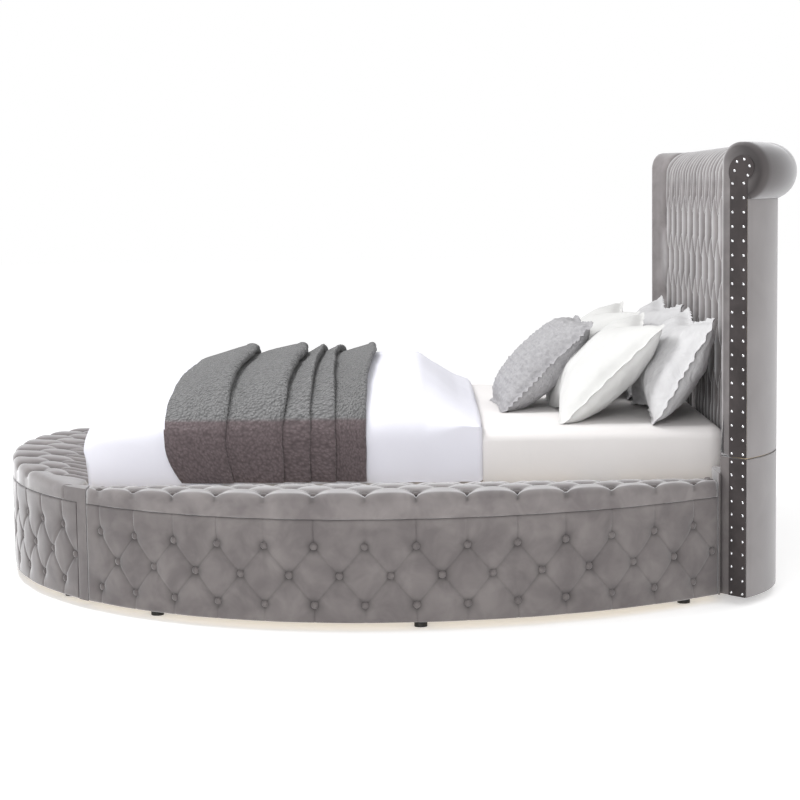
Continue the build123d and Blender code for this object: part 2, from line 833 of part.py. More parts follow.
leg_pitch = mattress_length / centre_leg_count
with BuildPart() as centre_legs:
    with BuildSketch():
        with GridLocations(leg_pitch, leg_pitch, 1, centre_leg_count):
            Circle(centre_leg_radius)
    extrude(amount=ledger_top - centre_rail_height)
keep(centre_legs.part, "centre_legs")

# Headboard frames, in two stacked parts, with dowels across the joint
scroll_under = scroll_height - sqrt(scroll_radius**2 - (scroll_radius - scroll_overhang) ** 2)
joint_low = headboard_joint - headboard_joint_gap / 2
joint_high = headboard_joint + headboard_joint_gap / 2
core_back = back_cover_thickness + seat_gap
dowel_y = board_front_y + (front_pad_thickness + board_depth) / 2


def dowels(radius, low, high):
    """Upright dowels in a row across the headboard."""
    with BuildPart() as row:
        with BuildSketch(Plane.XY.offset(low)):
            with Locations((0, dowel_y)):
                with GridLocations(dowel_pitch, dowel_pitch, dowel_count, 1):
                    RegularPolygon(radius, dowel_sides)
        extrude(amount=high - low)
    return row.part


dowel_low = headboard_joint - dowel_reach
dowel_high = headboard_joint + dowel_reach
dowel_bore = dowel_radius + seat_gap
with BuildPart() as headboard_lower:
    with BuildSketch(Plane.XY.offset(foot_height)):
        add(headboard_plan(0, core_back, 0))
    extrude(amount=headboard_joint - foot_height)
    add(dowels(dowel_bore, dowel_low, dowel_high), mode=Mode.SUBTRACT)
keep(headboard_lower.part, "headboard_lower")

with BuildPart() as headboard_upper:
    with BuildSketch(Plane.XY.offset(headboard_joint)):
        add(headboard_plan(front_pad_thickness + seat_gap, core_back, 0))
    extrude(amount=scroll_under - seat_gap - headboard_joint)
    add(dowels(dowel_bore, dowel_low, dowel_high), mode=Mode.SUBTRACT)
keep(headboard_upper.part, "headboard_upper")
keep(dowels(dowel_radius, dowel_low, dowel_high), "joint_dowels")


def back_cover(low, high):
    """A plain upholstered skin over the back, between two heights."""
    with BuildPart() as cover:
        with BuildSketch(Plane.XY.offset(low)):
            add(headboard_plan(0, 0, 0))
            add(headboard_plan(-overrun, back_cover_thickness, -overrun), mode=Mode.SUBTRACT)
        extrude(amount=high - low)
    return cover.part


with BuildPart() as headboard_back:
    add(back_cover(foot_height, joint_low))
    add(back_cover(joint_high, scroll_under - seat_gap))
keep(headboard_back.part, "headboard_back")

# Stations across the headboard, run mm from the middle along its front, either way
front_arc_run = front_bend_radius * radians(front_bend_angle)
front_run = front_flat + front_arc_run
bend_start = asin((front_flat - back_flat) / back_bend_radius)


def board_line(run):
    """The front point and the back point of the headboard's section at a station."""
    side = -1 if run < 0 else 1
    run = abs(run)
    if run <= front_flat:
        front = (run, board_front_y)
        turn = asin(max(0, run - back_flat) / back_bend_radius)
        back = (run, back_bend_y + back_bend_radius * cos(turn))
    else:
        front_turn = (run - front_flat) / front_bend_radius
        share = (run - front_flat) / front_arc_run
        turn = bend_start + (radians(back_bend_angle) - bend_start) * share
        front = (
            front_flat + front_bend_radius * sin(front_turn),
            front_bend_y + front_bend_radius * cos(front_turn),
        )
        back = (
            back_flat + back_bend_radius * sin(turn),
            back_bend_y + back_bend_radius * cos(turn),
        )
    return (side * front[0], front[1]), (side * back[0], back[1])


def board_across(run):
    """Unit direction from front to back at a station, and the thickness there."""
    front, back = board_line(run)
    width = hypot(back[0] - front[0], back[1] - front[1])
    return ((back[0] - front[0]) / width, (back[1] - front[1]) / width), width


# Tufted front pad, on staggered columns, with straight pleats from the top row and the bottom row
head_half = head_tuft_pitch / 2
edge_run = front_run - head_edge_roll
head_steps = int((edge_run - head_half / 2) / head_half)
head_runs = [index * head_half for index in range(-head_steps, head_steps + 1)]
head_heights = [head_tuft_top - row * head_tuft_step for row in range(head_tuft_rows)]
head_top_room = front_pad_top - head_tuft_top
head_top_reach = head_top_room * head_tuft_depth / (head_tuft_depth - head_pleat_depth)


def head_pad_section(run, deep_rows, top_depth, bottom_depth):
    """The pad's section at a tufted station; deep_rows are the rows with a button there."""
    across, _ = board_across(run)
    points = [(front_pad_thickness, front_pad_top - seat_gap), (top_depth, front_pad_top - seat_gap)]
    for row, height in enumerate(head_heights):
        points.append((head_tuft_depth if row in deep_rows else 0, height))
    points += [(bottom_depth, joint_high), (front_pad_thickness, joint_high)]
    return section_points(board_line(run)[0], across, points)


def plain_pad_section(run, fall):
    """The pad's section near its ends: untufted, slightly crowned and drawn in by fall."""
    across, _ = board_across(run)
    top = front_pad_top - seat_gap
    middle = (top + joint_high) / 2
    heights = (top, *head_heights, joint_high)
    points = [(front_pad_thickness, top)]
    for height in heights:
        points.append((fall + head_edge_crown * (2 * (height - middle) / (top - joint_high)) ** 2, height))
    points.append((front_pad_thickness, joint_high))
    return section_points(board_line(run)[0], across, points)


head_sections = []
head_seats = []
for index, run in enumerate(head_runs):
    is_even = (index - head_steps) % 2 == 0
    deep_rows = [row for row in range(head_tuft_rows) if (row % 2 == 0) == is_even]
    top_depth = head_pleat_depth if 0 in deep_rows else 0
    bottom_depth = head_pleat_depth if head_tuft_rows - 1 in deep_rows else 0
    head_sections.append(head_pad_section(run, deep_rows, top_depth, bottom_depth))
    across, _ = board_across(run)
    normal = (-across[0], -across[1], 0)
    bent = min(max(0, abs(run) + head_half - front_flat), head_half)
    reach = head_half * head_tuft_depth / (head_tuft_depth + bent**2 / (2 * front_bend_radius))
    for row in deep_rows:
        point = (*board_line(run)[0], head_heights[row])
        step = head_top_reach if row == 0 else head_tuft_step
        head_seats.append(button_seat(point, normal, head_tuft_depth, reach, step))
head_sections.insert(0, plain_pad_section(-edge_run, 0))
head_sections.insert(0, plain_pad_section(-front_run, head_edge_fall))
head_sections.append(plain_pad_section(edge_run, 0))
head_sections.append(plain_pad_section(front_run, head_edge_fall))
keep(lofted(head_sections), "headboard_pad")
keep(button_group(head_seats), "headboard_buttons")

# Scroll: the crest over the front pad and the roll that overhangs the back, as one padded form.
# The pad's top pleats run on over the crest, so its sections stand at the same stations.


def scroll_section(run, pleat):
    """The scroll's section at a station, with its front drawn in by the pleat, which fades at the top."""
    across, width = board_across(run)
    crest = crest_share * width
    crest_low = headboard_height - crest
    roll = width + scroll_overhang - scroll_radius
    under_turn = acos((scroll_radius - scroll_overhang) / scroll_radius)
    points = [(front_pad_thickness, front_pad_top), (pleat, front_pad_top)]
    for step in range(crest_steps + 1):
        turn = pi / 2 * step / crest_steps
        radius = crest - pleat * (1 - step / crest_steps)
        points.append((crest - radius * cos(turn), crest_low + radius * sin(turn)))
    for step in range(roll_steps + 1):
        turn = pi / 2 - (pi / 2 + under_turn) * step / roll_steps
        points.append((roll + scroll_radius * cos(turn), scroll_height + scroll_radius * sin(turn)))
    points.append((front_pad_thickness, scroll_under))
    return section_points(board_line(run)[0], across, points)


scroll_sections = [scroll_section(-front_run, 0), scroll_section(-edge_run, 0)]
for index, run in enumerate(head_runs):
    scroll_sections.append(scroll_section(run, scroll_pleat if (index - head_steps) % 2 == 0 else 0))
scroll_sections += [scroll_section(edge_run, 0), scroll_section(front_run, 0)]
keep(lofted(scroll_sections), "headboard_scroll")

# Dark nail strips on the two ends. The upper one hooks over towards the back at its top.
end_plane = Plane(origin=(tip_x, tip_y, 0), x_dir=(*end_run, 0), z_dir=end_normal).offset(seat_gap)
hook_low = strip_top - strip_hook_height
hook_middle = (strip_start + strip_end) / 2
with BuildPart() as nail_strips:
    with BuildSketch(end_plane):
        with Locations((hook_middle, (foot_height + joint_low) / 2)):
            Rectangle(strip_end - strip_start, joint_low - foot_height)
        with BuildLine():
            Line((strip_start, joint_high), (strip_start, hook_low))
            ThreePointArc(
                (strip_start, hook_low),
                (strip_start + strip_hook / 2, strip_top - strip_hook / 2),
                (strip_end - strip_hook / 2, strip_top),
            )
            ThreePointArc(
                (strip_end - strip_hook / 2, strip_top),
                (strip_end + strip_hook, strip_top - strip_hook),
                (strip_end, hook_low),
            )
            Polyline((strip_end, hook_low), (strip_end, joint_high), (strip_start, joint_high))
        make_face()
    extrude(amount=strip_thickness)
    mirror(about=Plane.YZ)
keep(nail_strips.part, "nail_strips")


def nail_column(low, high, pitch):
    """Heights of a column of nails, spread evenly."""
    count = int((high - low) / pitch) + 1
    step = (high - low) / (count - 1)
    return [low + index * step for index in range(count)]


nail_lines = (strip_start + nail_margin, strip_end - nail_margin)
nail_places = []
for line in nail_lines:
    for height in nail_column(foot_height + nail_margin, joint_low - nail_margin, lower_nail_pitch):
        nail_places.append((line, height))
    for height in nail_column(joint_high + nail_margin, hook_low - nail_margin, upper_nail_pitch):
        nail_places.append((line, height))
for index in range(hook_nail_count):
    turn = radians(hook_nail_start - index * hook_nail_step)
    nail_places.append((
        hook_nail_middle + hook_nail_radius * cos(turn),
        strip_top - nail_margin - hook_nail_radius + hook_nail_radius * sin(turn),
    ))
nail = low_pyramid(nail_radius, nail_height, nail_sides)
nail_planes = [
    Plane(
        origin=end_plane.offset(strip_thickness).from_local_coords((line, height, 0)),
        x_dir=(*end_run, 0),
        z_dir=end_normal,
    )
    for line, height in nail_places
]
with BuildPart() as nailheads:
    with Locations(*nail_planes):
        add(nail)
    mirror(about=Plane.YZ)
keep(nailheads.part, "nailheads")

# Steel brackets that hold the side rails to the lower frame, and the headboard's glides
bracket_x = rail_inner_x
with BuildPart() as rail_brackets:
    with BuildSketch(Plane.XY.offset(bracket_base)):
        Polygon(
            (bracket_x, board_front_y),
            (bracket_x, board_front_y - bracket_leg),
            (bracket_x - bracket_thickness, board_front_y - bracket_leg),
            (bracket_x - bracket_thickness, board_front_y - bracket_thickness),
            (bracket_x - bracket_leg, board_front_y - bracket_thickness),
            (bracket_x - bracket_leg, board_front_y),
            align=None,
        )
    extrude(amount=bracket_height)
    mirror(about=Plane.YZ)
keep(rail_brackets.part, "rail_brackets")

with BuildPart() as headboard_glides:
    with BuildSketch():
        with Locations((0, board_front_y + board_depth / 2)):
            with GridLocations(glide_pitch, glide_pitch, glide_count, 1):
                Circle(glide_radius)
    extrude(amount=foot_height)
keep(headboard_glides.part, "headboard_glides")

# Bedding
with BuildPart() as mattress:
    with BuildSketch(Plane.XY.offset(mattress_bottom)):
        with Locations((0, (mattress_foot_y + mattress_head_y) / 2)):
            RectangleRounded(mattress_width, mattress_length, mattress_corner)
    extrude(amount=mattress_height)
    chamfer(mattress.edges().group_by(Axis.Z)[-1], mattress_edge)
keep(mattress.part, "mattress")


def bedding_section(y, half_width, hem, shoulder, crown):
    """A closed section of the bedding across the bed: straight hanging sides and a crowned top."""
    shoulder_x = half_width - shoulder_inset
    half = [(0, crown)]
    for share in crown_shares:
        half.append((share * shoulder_x, crown - (crown - shoulder) * share**2))
    half.append((half_width - shoulder_inset / 4, shoulder - shoulder_drop / 4))
    half += [(half_width, shoulder - shoulder_drop), (half_width, hem)]
    points = half + [(-x, z) for x, z in reversed(half[1:])]
    return [Vector(x, y, z) for x, z in points]


def mattress_clear(gap):
    """The mattress's own block, let out by a gap, to be cut from what lies over it."""
    top = mattress_top + gap
    with BuildPart() as block:
        with BuildSketch(Plane.XY.offset(mattress_bottom)):
            with Locations((0, (mattress_foot_y + mattress_head_y) / 2)):
                Rectangle(mattress_width + 2 * gap, mattress_length + 2 * gap)
        extrude(amount=top - mattress_bottom)
    return block.part


duvet_length = duvet_head_y - duvet_foot_y
duvet_sections = []
for length_share, rise_share in duvet_shares:
    y = duvet_foot_y + length_share * duvet_length
    crown = mattress_top + rise_share * (duvet_crown - mattress_top)
    shoulder = mattress_top + rise_share * (duvet_shoulder - mattress_top)
    duvet_sections.append(bedding_section(y, bedding_half_width, duvet_hem, shoulder, crown))
with BuildPart() as duvet:
    add(lofted(duvet_sections))
    add(mattress_clear(seat_gap), mode=Mode.SUBTRACT)
keep(duvet.part, "duvet")

# The throw lies over the duvet in soft folds that run across the bed
fold_pitch = (throw_head_y - throw_foot_y) / throw_fold_count
throw_sections = []
for index in range(2 * throw_fold_count + 1):
    y = throw_foot_y + index * fold_pitch / 2
    rise = throw_thickness + (throw_fold_rise if index % 2 else 0)
    side = seat_gap + throw_thickness / 2 + (throw_thickness / 2 if index % 2 else 0)
    throw_sections.append(bedding_section(
        y, bedding_half_width + side, duvet_hem, duvet_shoulder + rise, duvet_crown + rise,
    ))
under_throw = lofted([
    bedding_section(
        y, bedding_half_width + seat_gap, duvet_hem - overrun,
        duvet_shoulder + seat_gap, duvet_crown + seat_gap,
    )
    for y in (throw_foot_y - overrun, throw_head_y + overrun)
])
with BuildPart() as throw:
    add(lofted(throw_sections))
    add(under_throw, mode=Mode.SUBTRACT)
keep(throw.part, "throw")


def pillow_outline(width, height, level):
    """A pillow's outline at a level of its thickness, with drawn-in sides between its corners."""
    corners = ((-1, -1), (1, -1), (1, 1), (-1, 1))
    points = []
    for (x, y), (next_x, next_y) in zip(corners, corners[1:] + corners[:1]):
        for share in pillow_side_shares:
            draw = 1 - pillow_waist_share * 4 * share * (1 - share)
            run_x = x + share * (next_x - x)
            run_y = y + share * (next_y - y)
            is_along = x != next_x
            points.append(Vector(
                width / 2 * run_x * (1 if is_along else draw),
                height / 2 * run_y * (draw if is_along else 1),
                level,
            ))
    return points


def pillow(width, height, thickness):
    """A crowned cushion, fullest in the middle and thin at its seam."""
    return lofted([
        pillow_outline(width * size_share, height * size_share, thickness / 2 * level_share)
        for size_share, level_share in pillow_shares
    ])


def leaning_pillow(width, height, thickness, x, setback, lean_angle):
    """A pillow that stands on the mattress and leans back, its middle setback from the headboard."""
    turn = radians(lean_angle)
    origin = (x, board_front_y - setback, 0)
    slant = Plane(origin=origin, x_dir=(1, 0, 0), z_dir=(0, -sin(turn), cos(turn)))
    leaned = slant * pillow(width, height, thickness)
    rise = mattress_top + seat_gap - leaned.bounding_box().min.Z
    return Pos(0, 0, rise) * leaned


keep(
    leaning_pillow(
        ruffled_width, ruffled_height, ruffled_thickness,
        ruffled_x, ruffled_setback, ruffled_lean_angle,
    ),
    "pillow_ruffled",
)
for name, x in (("pillow_white", pillow_x), ("pillow_far", far_pillow_x)):
    white_pillow = leaning_pillow(
        pillow_width, pillow_height, pillow_thickness, x, pillow_setback, pillow_lean_angle
    )
    keep(white_pillow, name)
for name, x in (("sham_near", sham_x), ("sham_far", -sham_x)):
    sham = leaning_pillow(
        sham_width, sham_height, sham_thickness, x, sham_setback, sham_lean_angle
    )
    keep(sham, name)
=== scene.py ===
# %% [markdown]
# # A round upholstered bed
# This lesson dresses a finished CAD frame. The frame gives every board, hinge and lid its true place in
# metres, with the origin on the floor at the middle of the round base, +Z up and +Y towards the headboard.
# What is made here is what the eye sees: tufted velvet, a rolled headboard top, nails and bedding.

# %% Load the frame
import json
import math

import bmesh
import bpy
import numpy as np
from mathutils import Matrix, Vector, noise

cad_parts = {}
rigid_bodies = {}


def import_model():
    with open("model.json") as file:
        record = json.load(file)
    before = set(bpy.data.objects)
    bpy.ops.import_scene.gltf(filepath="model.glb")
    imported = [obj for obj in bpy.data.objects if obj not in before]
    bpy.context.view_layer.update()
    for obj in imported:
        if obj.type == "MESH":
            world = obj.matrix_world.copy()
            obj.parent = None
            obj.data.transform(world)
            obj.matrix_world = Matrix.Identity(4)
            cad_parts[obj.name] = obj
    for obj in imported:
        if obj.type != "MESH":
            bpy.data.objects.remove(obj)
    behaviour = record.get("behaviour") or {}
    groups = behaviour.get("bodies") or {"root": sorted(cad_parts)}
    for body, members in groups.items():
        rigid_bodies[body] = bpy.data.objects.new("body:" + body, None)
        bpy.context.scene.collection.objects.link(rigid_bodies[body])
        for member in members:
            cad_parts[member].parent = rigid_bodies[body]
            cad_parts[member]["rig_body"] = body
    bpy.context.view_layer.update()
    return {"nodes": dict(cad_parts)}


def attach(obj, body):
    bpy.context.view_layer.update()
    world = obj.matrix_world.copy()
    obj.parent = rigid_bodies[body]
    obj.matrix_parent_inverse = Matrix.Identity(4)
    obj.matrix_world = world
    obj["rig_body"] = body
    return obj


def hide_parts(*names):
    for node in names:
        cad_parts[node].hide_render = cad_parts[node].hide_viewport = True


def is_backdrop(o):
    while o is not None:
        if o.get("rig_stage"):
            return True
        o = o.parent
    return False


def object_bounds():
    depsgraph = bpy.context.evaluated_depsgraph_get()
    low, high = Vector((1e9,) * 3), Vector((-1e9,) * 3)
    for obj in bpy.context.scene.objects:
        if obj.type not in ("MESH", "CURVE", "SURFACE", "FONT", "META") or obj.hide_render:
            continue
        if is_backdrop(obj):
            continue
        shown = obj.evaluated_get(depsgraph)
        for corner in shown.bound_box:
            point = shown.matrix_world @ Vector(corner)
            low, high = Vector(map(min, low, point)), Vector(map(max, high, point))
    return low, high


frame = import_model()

MM = 0.001

# %% [markdown]
# ## Colours and node helpers
# Fabric colours are given as sRGB hex values, as a dyer's card would give them. Cycles works in linear
# light, so one function converts them, and one small function adds a node with its settings and links.

# %% Colour and node helpers


def linear(hex_code):
    """Linear colour, with full alpha, from an sRGB hex string."""
    parts = [int(hex_code[i:i + 2], 16) / 255 for i in (1, 3, 5)]
    return (*[p / 12.92 if p <= 0.04045 else ((p + 0.055) / 1.055) ** 2.4 for p in parts], 1.0)


def add_node(tree, kind, settings=None, **inputs):
    """A node with its settings. An input is a value, or another node's output to link.

    An input's name has underscores for spaces. i0, i6 and so on stand for inputs by number.
    """
    node = tree.nodes.new(kind)
    for key, value in (settings or {}).items():
        setattr(node, key, value)
    for key, value in inputs.items():
        by_number = key[0] == "i" and key[1:].isdigit()
        socket = node.inputs[int(key[1:]) if by_number else key.replace("_", " ")]
        if isinstance(value, bpy.types.NodeSocket):
            tree.links.new(value, socket)
        else:
            socket.default_value = value
    return node


def new_material(name):
    """An empty material with its Principled shader and output."""
    made = bpy.data.materials.new(name)
    made.use_nodes = True
    tree = made.node_tree
    tree.nodes.clear()
    shader = add_node(tree, "ShaderNodeBsdfPrincipled")
    add_node(tree, "ShaderNodeOutputMaterial", Surface=shader.outputs["BSDF"])
    return made, tree, shader


def finish_surface(tree, shader, colour, bump, roughness, specular=None):
    """Link a colour and a bump to the shader and set how matt it is."""
    tree.links.new(colour, shader.inputs["Base Color"])
    tree.links.new(bump.outputs["Normal"], shader.inputs["Normal"])
    shader.inputs["Roughness"].default_value = roughness
    if specular is not None:
        shader.inputs["Specular IOR Level"].default_value = specular


# %% [markdown]
# ## Velvet
# Velvet is a woven ground with a short cut pile. The pile throws light back at grazing angles, which is
# what sheen does, and hands brush it into lighter and darker patches a few centimetres across. Shade is
# painted into the colour: darker deep in a tuft, a little lighter on the puffs, and darker over the back
# of the headboard's roll. The lids, the headboard's front and its plain back take lighter copies of the
# same velvet, as painted light, and the buttons a darker copy, as painted shade. The pile itself is finer
# than the render shows, so its grain is drawn at 1.5 mm.

# %% Velvet material
GRAIN_MM = 1.5
# Colour of the painted shade over the back of the headboard's roll.
ROLL_PAINTED_SHADE = "#4d4949"


def velvet_material(name, body, brushed, sheen, patch_mm=90.0):
    """Velvet whose colour holds painted shade, read from two values kept at each point: deep in a tuft, and
    over the back of the roll.
    """
    made, tree, shader = new_material(name)
    where = add_node(tree, "ShaderNodeTexCoord").outputs["Object"]
    patches = add_node(
        tree, "ShaderNodeTexNoise", Vector=where, Scale=1000 / patch_mm,
        Detail=3.0, Roughness=0.55, Distortion=0.4,
    )
    grain = add_node(tree, "ShaderNodeTexNoise", Vector=where, Scale=1000 / (2 * GRAIN_MM), Detail=2.0)
    share = add_node(
        tree, "ShaderNodeMapRange", Value=patches.outputs["Fac"],
        From_Min=0.35, From_Max=0.68, To_Min=0.0, To_Max=1.0,
    )
    colour = add_node(
        tree, "ShaderNodeMix", {"data_type": "RGBA"},
        i0=share.outputs["Result"], i6=linear(body), i7=linear(brushed),
    )
    turned = add_node(tree, "ShaderNodeAttribute", {"attribute_name": "turned"})
    roll = add_node(
        tree, "ShaderNodeMix", {"data_type": "RGBA"},
        i0=turned.outputs["Fac"], i6=colour.outputs[2], i7=linear(ROLL_PAINTED_SHADE),
    )
    # Painted shade: the colour is darkened deep in a tuft and lightened a little on the puffs.
    pressed = add_node(tree, "ShaderNodeAttribute", {"attribute_name": "pressed"})
    dark = add_node(
        tree, "ShaderNodeMapRange", {"interpolation_type": "SMOOTHSTEP"}, Value=pressed.outputs["Fac"],
        To_Min=1.06, To_Max=0.45,
    )
    with_painted_shade = add_node(
        tree, "ShaderNodeMix", {"data_type": "RGBA", "blend_type": "MULTIPLY"},
        i0=1.0, i6=roll.outputs[2], i7=dark.outputs["Result"],
    )
    bump = add_node(
        tree, "ShaderNodeBump", Strength=0.25, Distance=0.0006, Height=grain.outputs["Fac"],
    )
    finish_surface(tree, shader, with_painted_shade.outputs[2], bump, 0.8, 0.2)
    shader.inputs["Sheen Weight"].default_value = sheen
    shader.inputs["Sheen Roughness"].default_value = 0.4
    shader.inputs["Sheen Tint"].default_value = linear("#f1f1f3")
    return made


velvet = velvet_material("pile_velvet_grey", "#605b5b", "#716c6b", 0.75)
# Lighter copy of the same velvet, as painted light on the lids.
velvet_lid = velvet_material("pile_velvet_lids_painted_light", "#676262", "#7b7675", 1.0)
# Lighter copy of the same velvet, as painted light on the headboard's front.
velvet_front = velvet_material("pile_velvet_headboard_painted_light", "#6b6666", "#827d7d", 1.0)
# Darker copy of the same velvet, as painted shade on the buttons.
velvet_button = velvet_material("pile_velvet_button_painted_shade", "#5c5757", "#696463", 0.5, patch_mm=30.0)
velvet_strip = velvet_material("pile_velvet_dark_strip", "#353131", "#413c3c", 0.2)
# Lighter copy of the same velvet, as painted light on the plain back.
velvet_back = velvet_material("pile_velvet_plain_back_painted_light", "#7b7777", "#848080", 0.75, patch_mm=200.0)
print("velvets:", [made.name for made in bpy.data.materials if "velvet" in made.name])

# %% [markdown]
# ## Bed linen
# Cotton percale is a fine even weave, so from a few metres only its soft creases show. A large noise in the
# bump draws them, and the same noise paints shade into their hollows. The throw is brushed cotton, stitched
# all over in a wandering line with about 9 mm between the puffs; its colour is painted darker between the
# puffs and lighter on them. Its two ends, which hang lowest, are painted darker below the duvet's shoulder,
# as the shade on the sides that hang down.

# %% Linen materials
WEAVE_MM = 0.8


def cotton_material(name, body, fold_shade, crease_mm=160.0, crease_bump=0.004):
    """Woven cotton: creases about crease_mm across, crease_bump metres deep, over a fine weave."""
    made, tree, shader = new_material(name)
    where = add_node(tree, "ShaderNodeTexCoord").outputs["Object"]
    creases = add_node(
        tree, "ShaderNodeTexNoise", Vector=where, Scale=1000 / crease_mm,
        Detail=4.0, Roughness=0.5, Distortion=0.6,
    )
    weave = add_node(tree, "ShaderNodeTexNoise", Vector=where, Scale=1000 / (2 * WEAVE_MM), Detail=1.0)
    colour = add_node(
        tree, "ShaderNodeMix", {"data_type": "RGBA"},
        i0=creases.outputs["Fac"], i6=linear(fold_shade), i7=linear(body),
    )
    fine = add_node(tree, "ShaderNodeBump", Strength=0.2, Distance=0.0003, Height=weave.outputs["Fac"])
    soft = add_node(
        tree, "ShaderNodeBump", Strength=0.5, Distance=crease_bump, Height=creases.outputs["Fac"],
        Normal=fine.outputs["Normal"],
    )
    finish_surface(tree, shader, colour.outputs[2], soft, 0.85, 0.25)
    shader.inputs["Sheen Weight"].default_value = 0.1
    return made


sheet_cotton = cotton_material("percale_sheet", "#ebe8e7", "#e5e2e1")
duvet_cotton = cotton_material("percale_duvet", "#e9e9f2", "#e4e4ed", crease_mm=300.0, crease_bump=0.008)
white_cotton = cotton_material("percale_pillow_white", "#dfdfdd", "#d3d3d2", crease_mm=70.0)
sham_cotton = cotton_material("percale_sham", "#dadadb", "#c3c2c4", crease_mm=55.0, crease_bump=0.02)
ruffle_cotton = cotton_material(
    "gathered_cotton_grey", "#bebdbf", "#8f8e91", crease_mm=12.0, crease_bump=0.012,
)
cottons = (sheet_cotton, duvet_cotton, white_cotton, sham_cotton, ruffle_cotton)
print("cottons:", [made.name for made in cottons])

# %% Quilted throw material
PUFF_MM, FLUFF_PER_M = 9.0, 380.0
# Below this height the throw's colour holds painted shade, with an edge this soft.
SHADE_EDGE_Z, SHADE_EDGE_FADE = 0.575, 0.006
throw_cotton, tree, shader = new_material("brushed_cotton_quilted")
where = add_node(tree, "ShaderNodeTexCoord")
puffs = add_node(
    tree, "ShaderNodeTexVoronoi", {"feature": "SMOOTH_F1"}, Vector=where.outputs["UV"],
    Scale=1000 / PUFF_MM, Smoothness=0.6, Randomness=0.9,
)
fluff = add_node(
    tree, "ShaderNodeTexNoise", Vector=where.outputs["UV"], Scale=FLUFF_PER_M, Detail=3.0,
)
height = add_node(
    tree, "ShaderNodeMath", {"operation": "MULTIPLY_ADD"},
    i0=fluff.outputs["Fac"], i1=0.25, i2=puffs.outputs["Distance"],
)
# Painted shade on the hanging sides: below the edge the colour turns darker, and the bump is shallower.
apart = add_node(tree, "ShaderNodeSeparateXYZ", Vector=where.outputs["Object"])
painted_shade_edge = add_node(
    tree, "ShaderNodeMapRange", Value=apart.outputs["Z"],
    From_Min=SHADE_EDGE_Z - SHADE_EDGE_FADE, From_Max=SHADE_EDGE_Z + SHADE_EDGE_FADE, To_Min=0.0, To_Max=1.0,
)
painted_side_shade = add_node(
    tree, "ShaderNodeMix", {"data_type": "RGBA"},
    i0=painted_shade_edge.outputs["Result"], i6=linear("#6a5f61"), i7=linear("#838384"),
)
# Painted shade and light on the quilting: the colour is multiplied by up to 1.15 on a puff and down to 0.68
# between puffs.
shaded = add_node(
    tree, "ShaderNodeMapRange", Value=puffs.outputs["Distance"],
    From_Min=0.1, From_Max=0.8, To_Min=1.15, To_Max=0.68,
)
puff_shaded_colour = add_node(
    tree, "ShaderNodeMix", {"data_type": "RGBA", "blend_type": "MULTIPLY"},
    i0=1.0, i6=painted_side_shade.outputs[2], i7=shaded.outputs["Result"],
)
depth = add_node(
    tree, "ShaderNodeMapRange", Value=painted_shade_edge.outputs["Result"], To_Min=0.4, To_Max=1.0,
)
bump = add_node(
    tree, "ShaderNodeBump", {"invert": True}, Strength=depth.outputs["Result"], Distance=0.018,
    Height=height.outputs["Value"],
)
finish_surface(tree, shader, puff_shaded_colour.outputs[2], bump, 0.9, 0.15)
shader.inputs["Sheen Weight"].default_value = 0.25
print("throw: puffs", PUFF_MM, "mm across, darker border below", SHADE_EDGE_Z, "m")

# %% [markdown]
# ## Wood, steel, chrome and plastic
# These are mostly inside. Plywood and pine show long grain, zinc-plated steel has a dull cloudy shine, and
# the nails are polished chrome. The feet are moulded plastic with a fine even texture.

# %% Hard materials
LONG_GRAIN = (1.0, 12.0, 12.0)


def wood_material(name, light, dark, grain_mm):
    """Planed wood with its grain drawn out along X."""
    made, tree, shader = new_material(name)
    where = add_node(tree, "ShaderNodeTexCoord").outputs["Object"]
    stretched = add_node(tree, "ShaderNodeMapping", Vector=where, Scale=LONG_GRAIN)
    grain = add_node(
        tree, "ShaderNodeTexNoise", Vector=stretched.outputs["Vector"], Scale=60 / grain_mm,
        Detail=6.0, Distortion=1.2,
    )
    colour = add_node(
        tree, "ShaderNodeMix", {"data_type": "RGBA"},
        i0=grain.outputs["Fac"], i6=linear(light), i7=linear(dark),
    )
    bump = add_node(tree, "ShaderNodeBump", Strength=0.15, Distance=0.0004, Height=grain.outputs["Fac"])
    finish_surface(tree, shader, colour.outputs[2], bump, 0.55)
    return made


def worn_material(name, body, metallic, low_rough, high_rough, cloud_mm):
    """Metal or plastic whose gloss varies in soft clouds."""
    made, tree, shader = new_material(name)
    where = add_node(tree, "ShaderNodeTexCoord").outputs["Object"]
    clouds = add_node(tree, "ShaderNodeTexNoise", Vector=where, Scale=1000 / cloud_mm, Detail=5.0)
    rough = add_node(
        tree, "ShaderNodeMapRange", Value=clouds.outputs["Fac"],
        From_Min=0.3, From_Max=0.7, To_Min=low_rough, To_Max=high_rough,
    )
    bump = add_node(tree, "ShaderNodeBump", Strength=0.1, Distance=0.0002, Height=clouds.outputs["Fac"])
    tree.links.new(rough.outputs["Result"], shader.inputs["Roughness"])
    tree.links.new(bump.outputs["Normal"], shader.inputs["Normal"])
    shader.inputs["Base Color"].default_value = linear(body)
    shader.inputs["Metallic"].default_value = metallic
    return made


birch = wood_material("birch_plywood", "#cdbea2", "#b3a07f", 3.0)
pine = wood_material("planed_pine", "#d2c0a0", "#b8a27c", 4.0)
zinc = worn_material("zinc_plated_steel", "#a9abad", 1.0, 0.3, 0.45, 25.0)
chrome = worn_material("polished_chrome", "#dcdcde", 1.0, 0.08, 0.16, 4.0)
black_plastic = worn_material("moulded_black_plastic", "#141414", 0.0, 0.42, 0.55, 6.0)
print("hard materials:", [made.name for made in (birch, pine, zinc, chrome, black_plastic)])

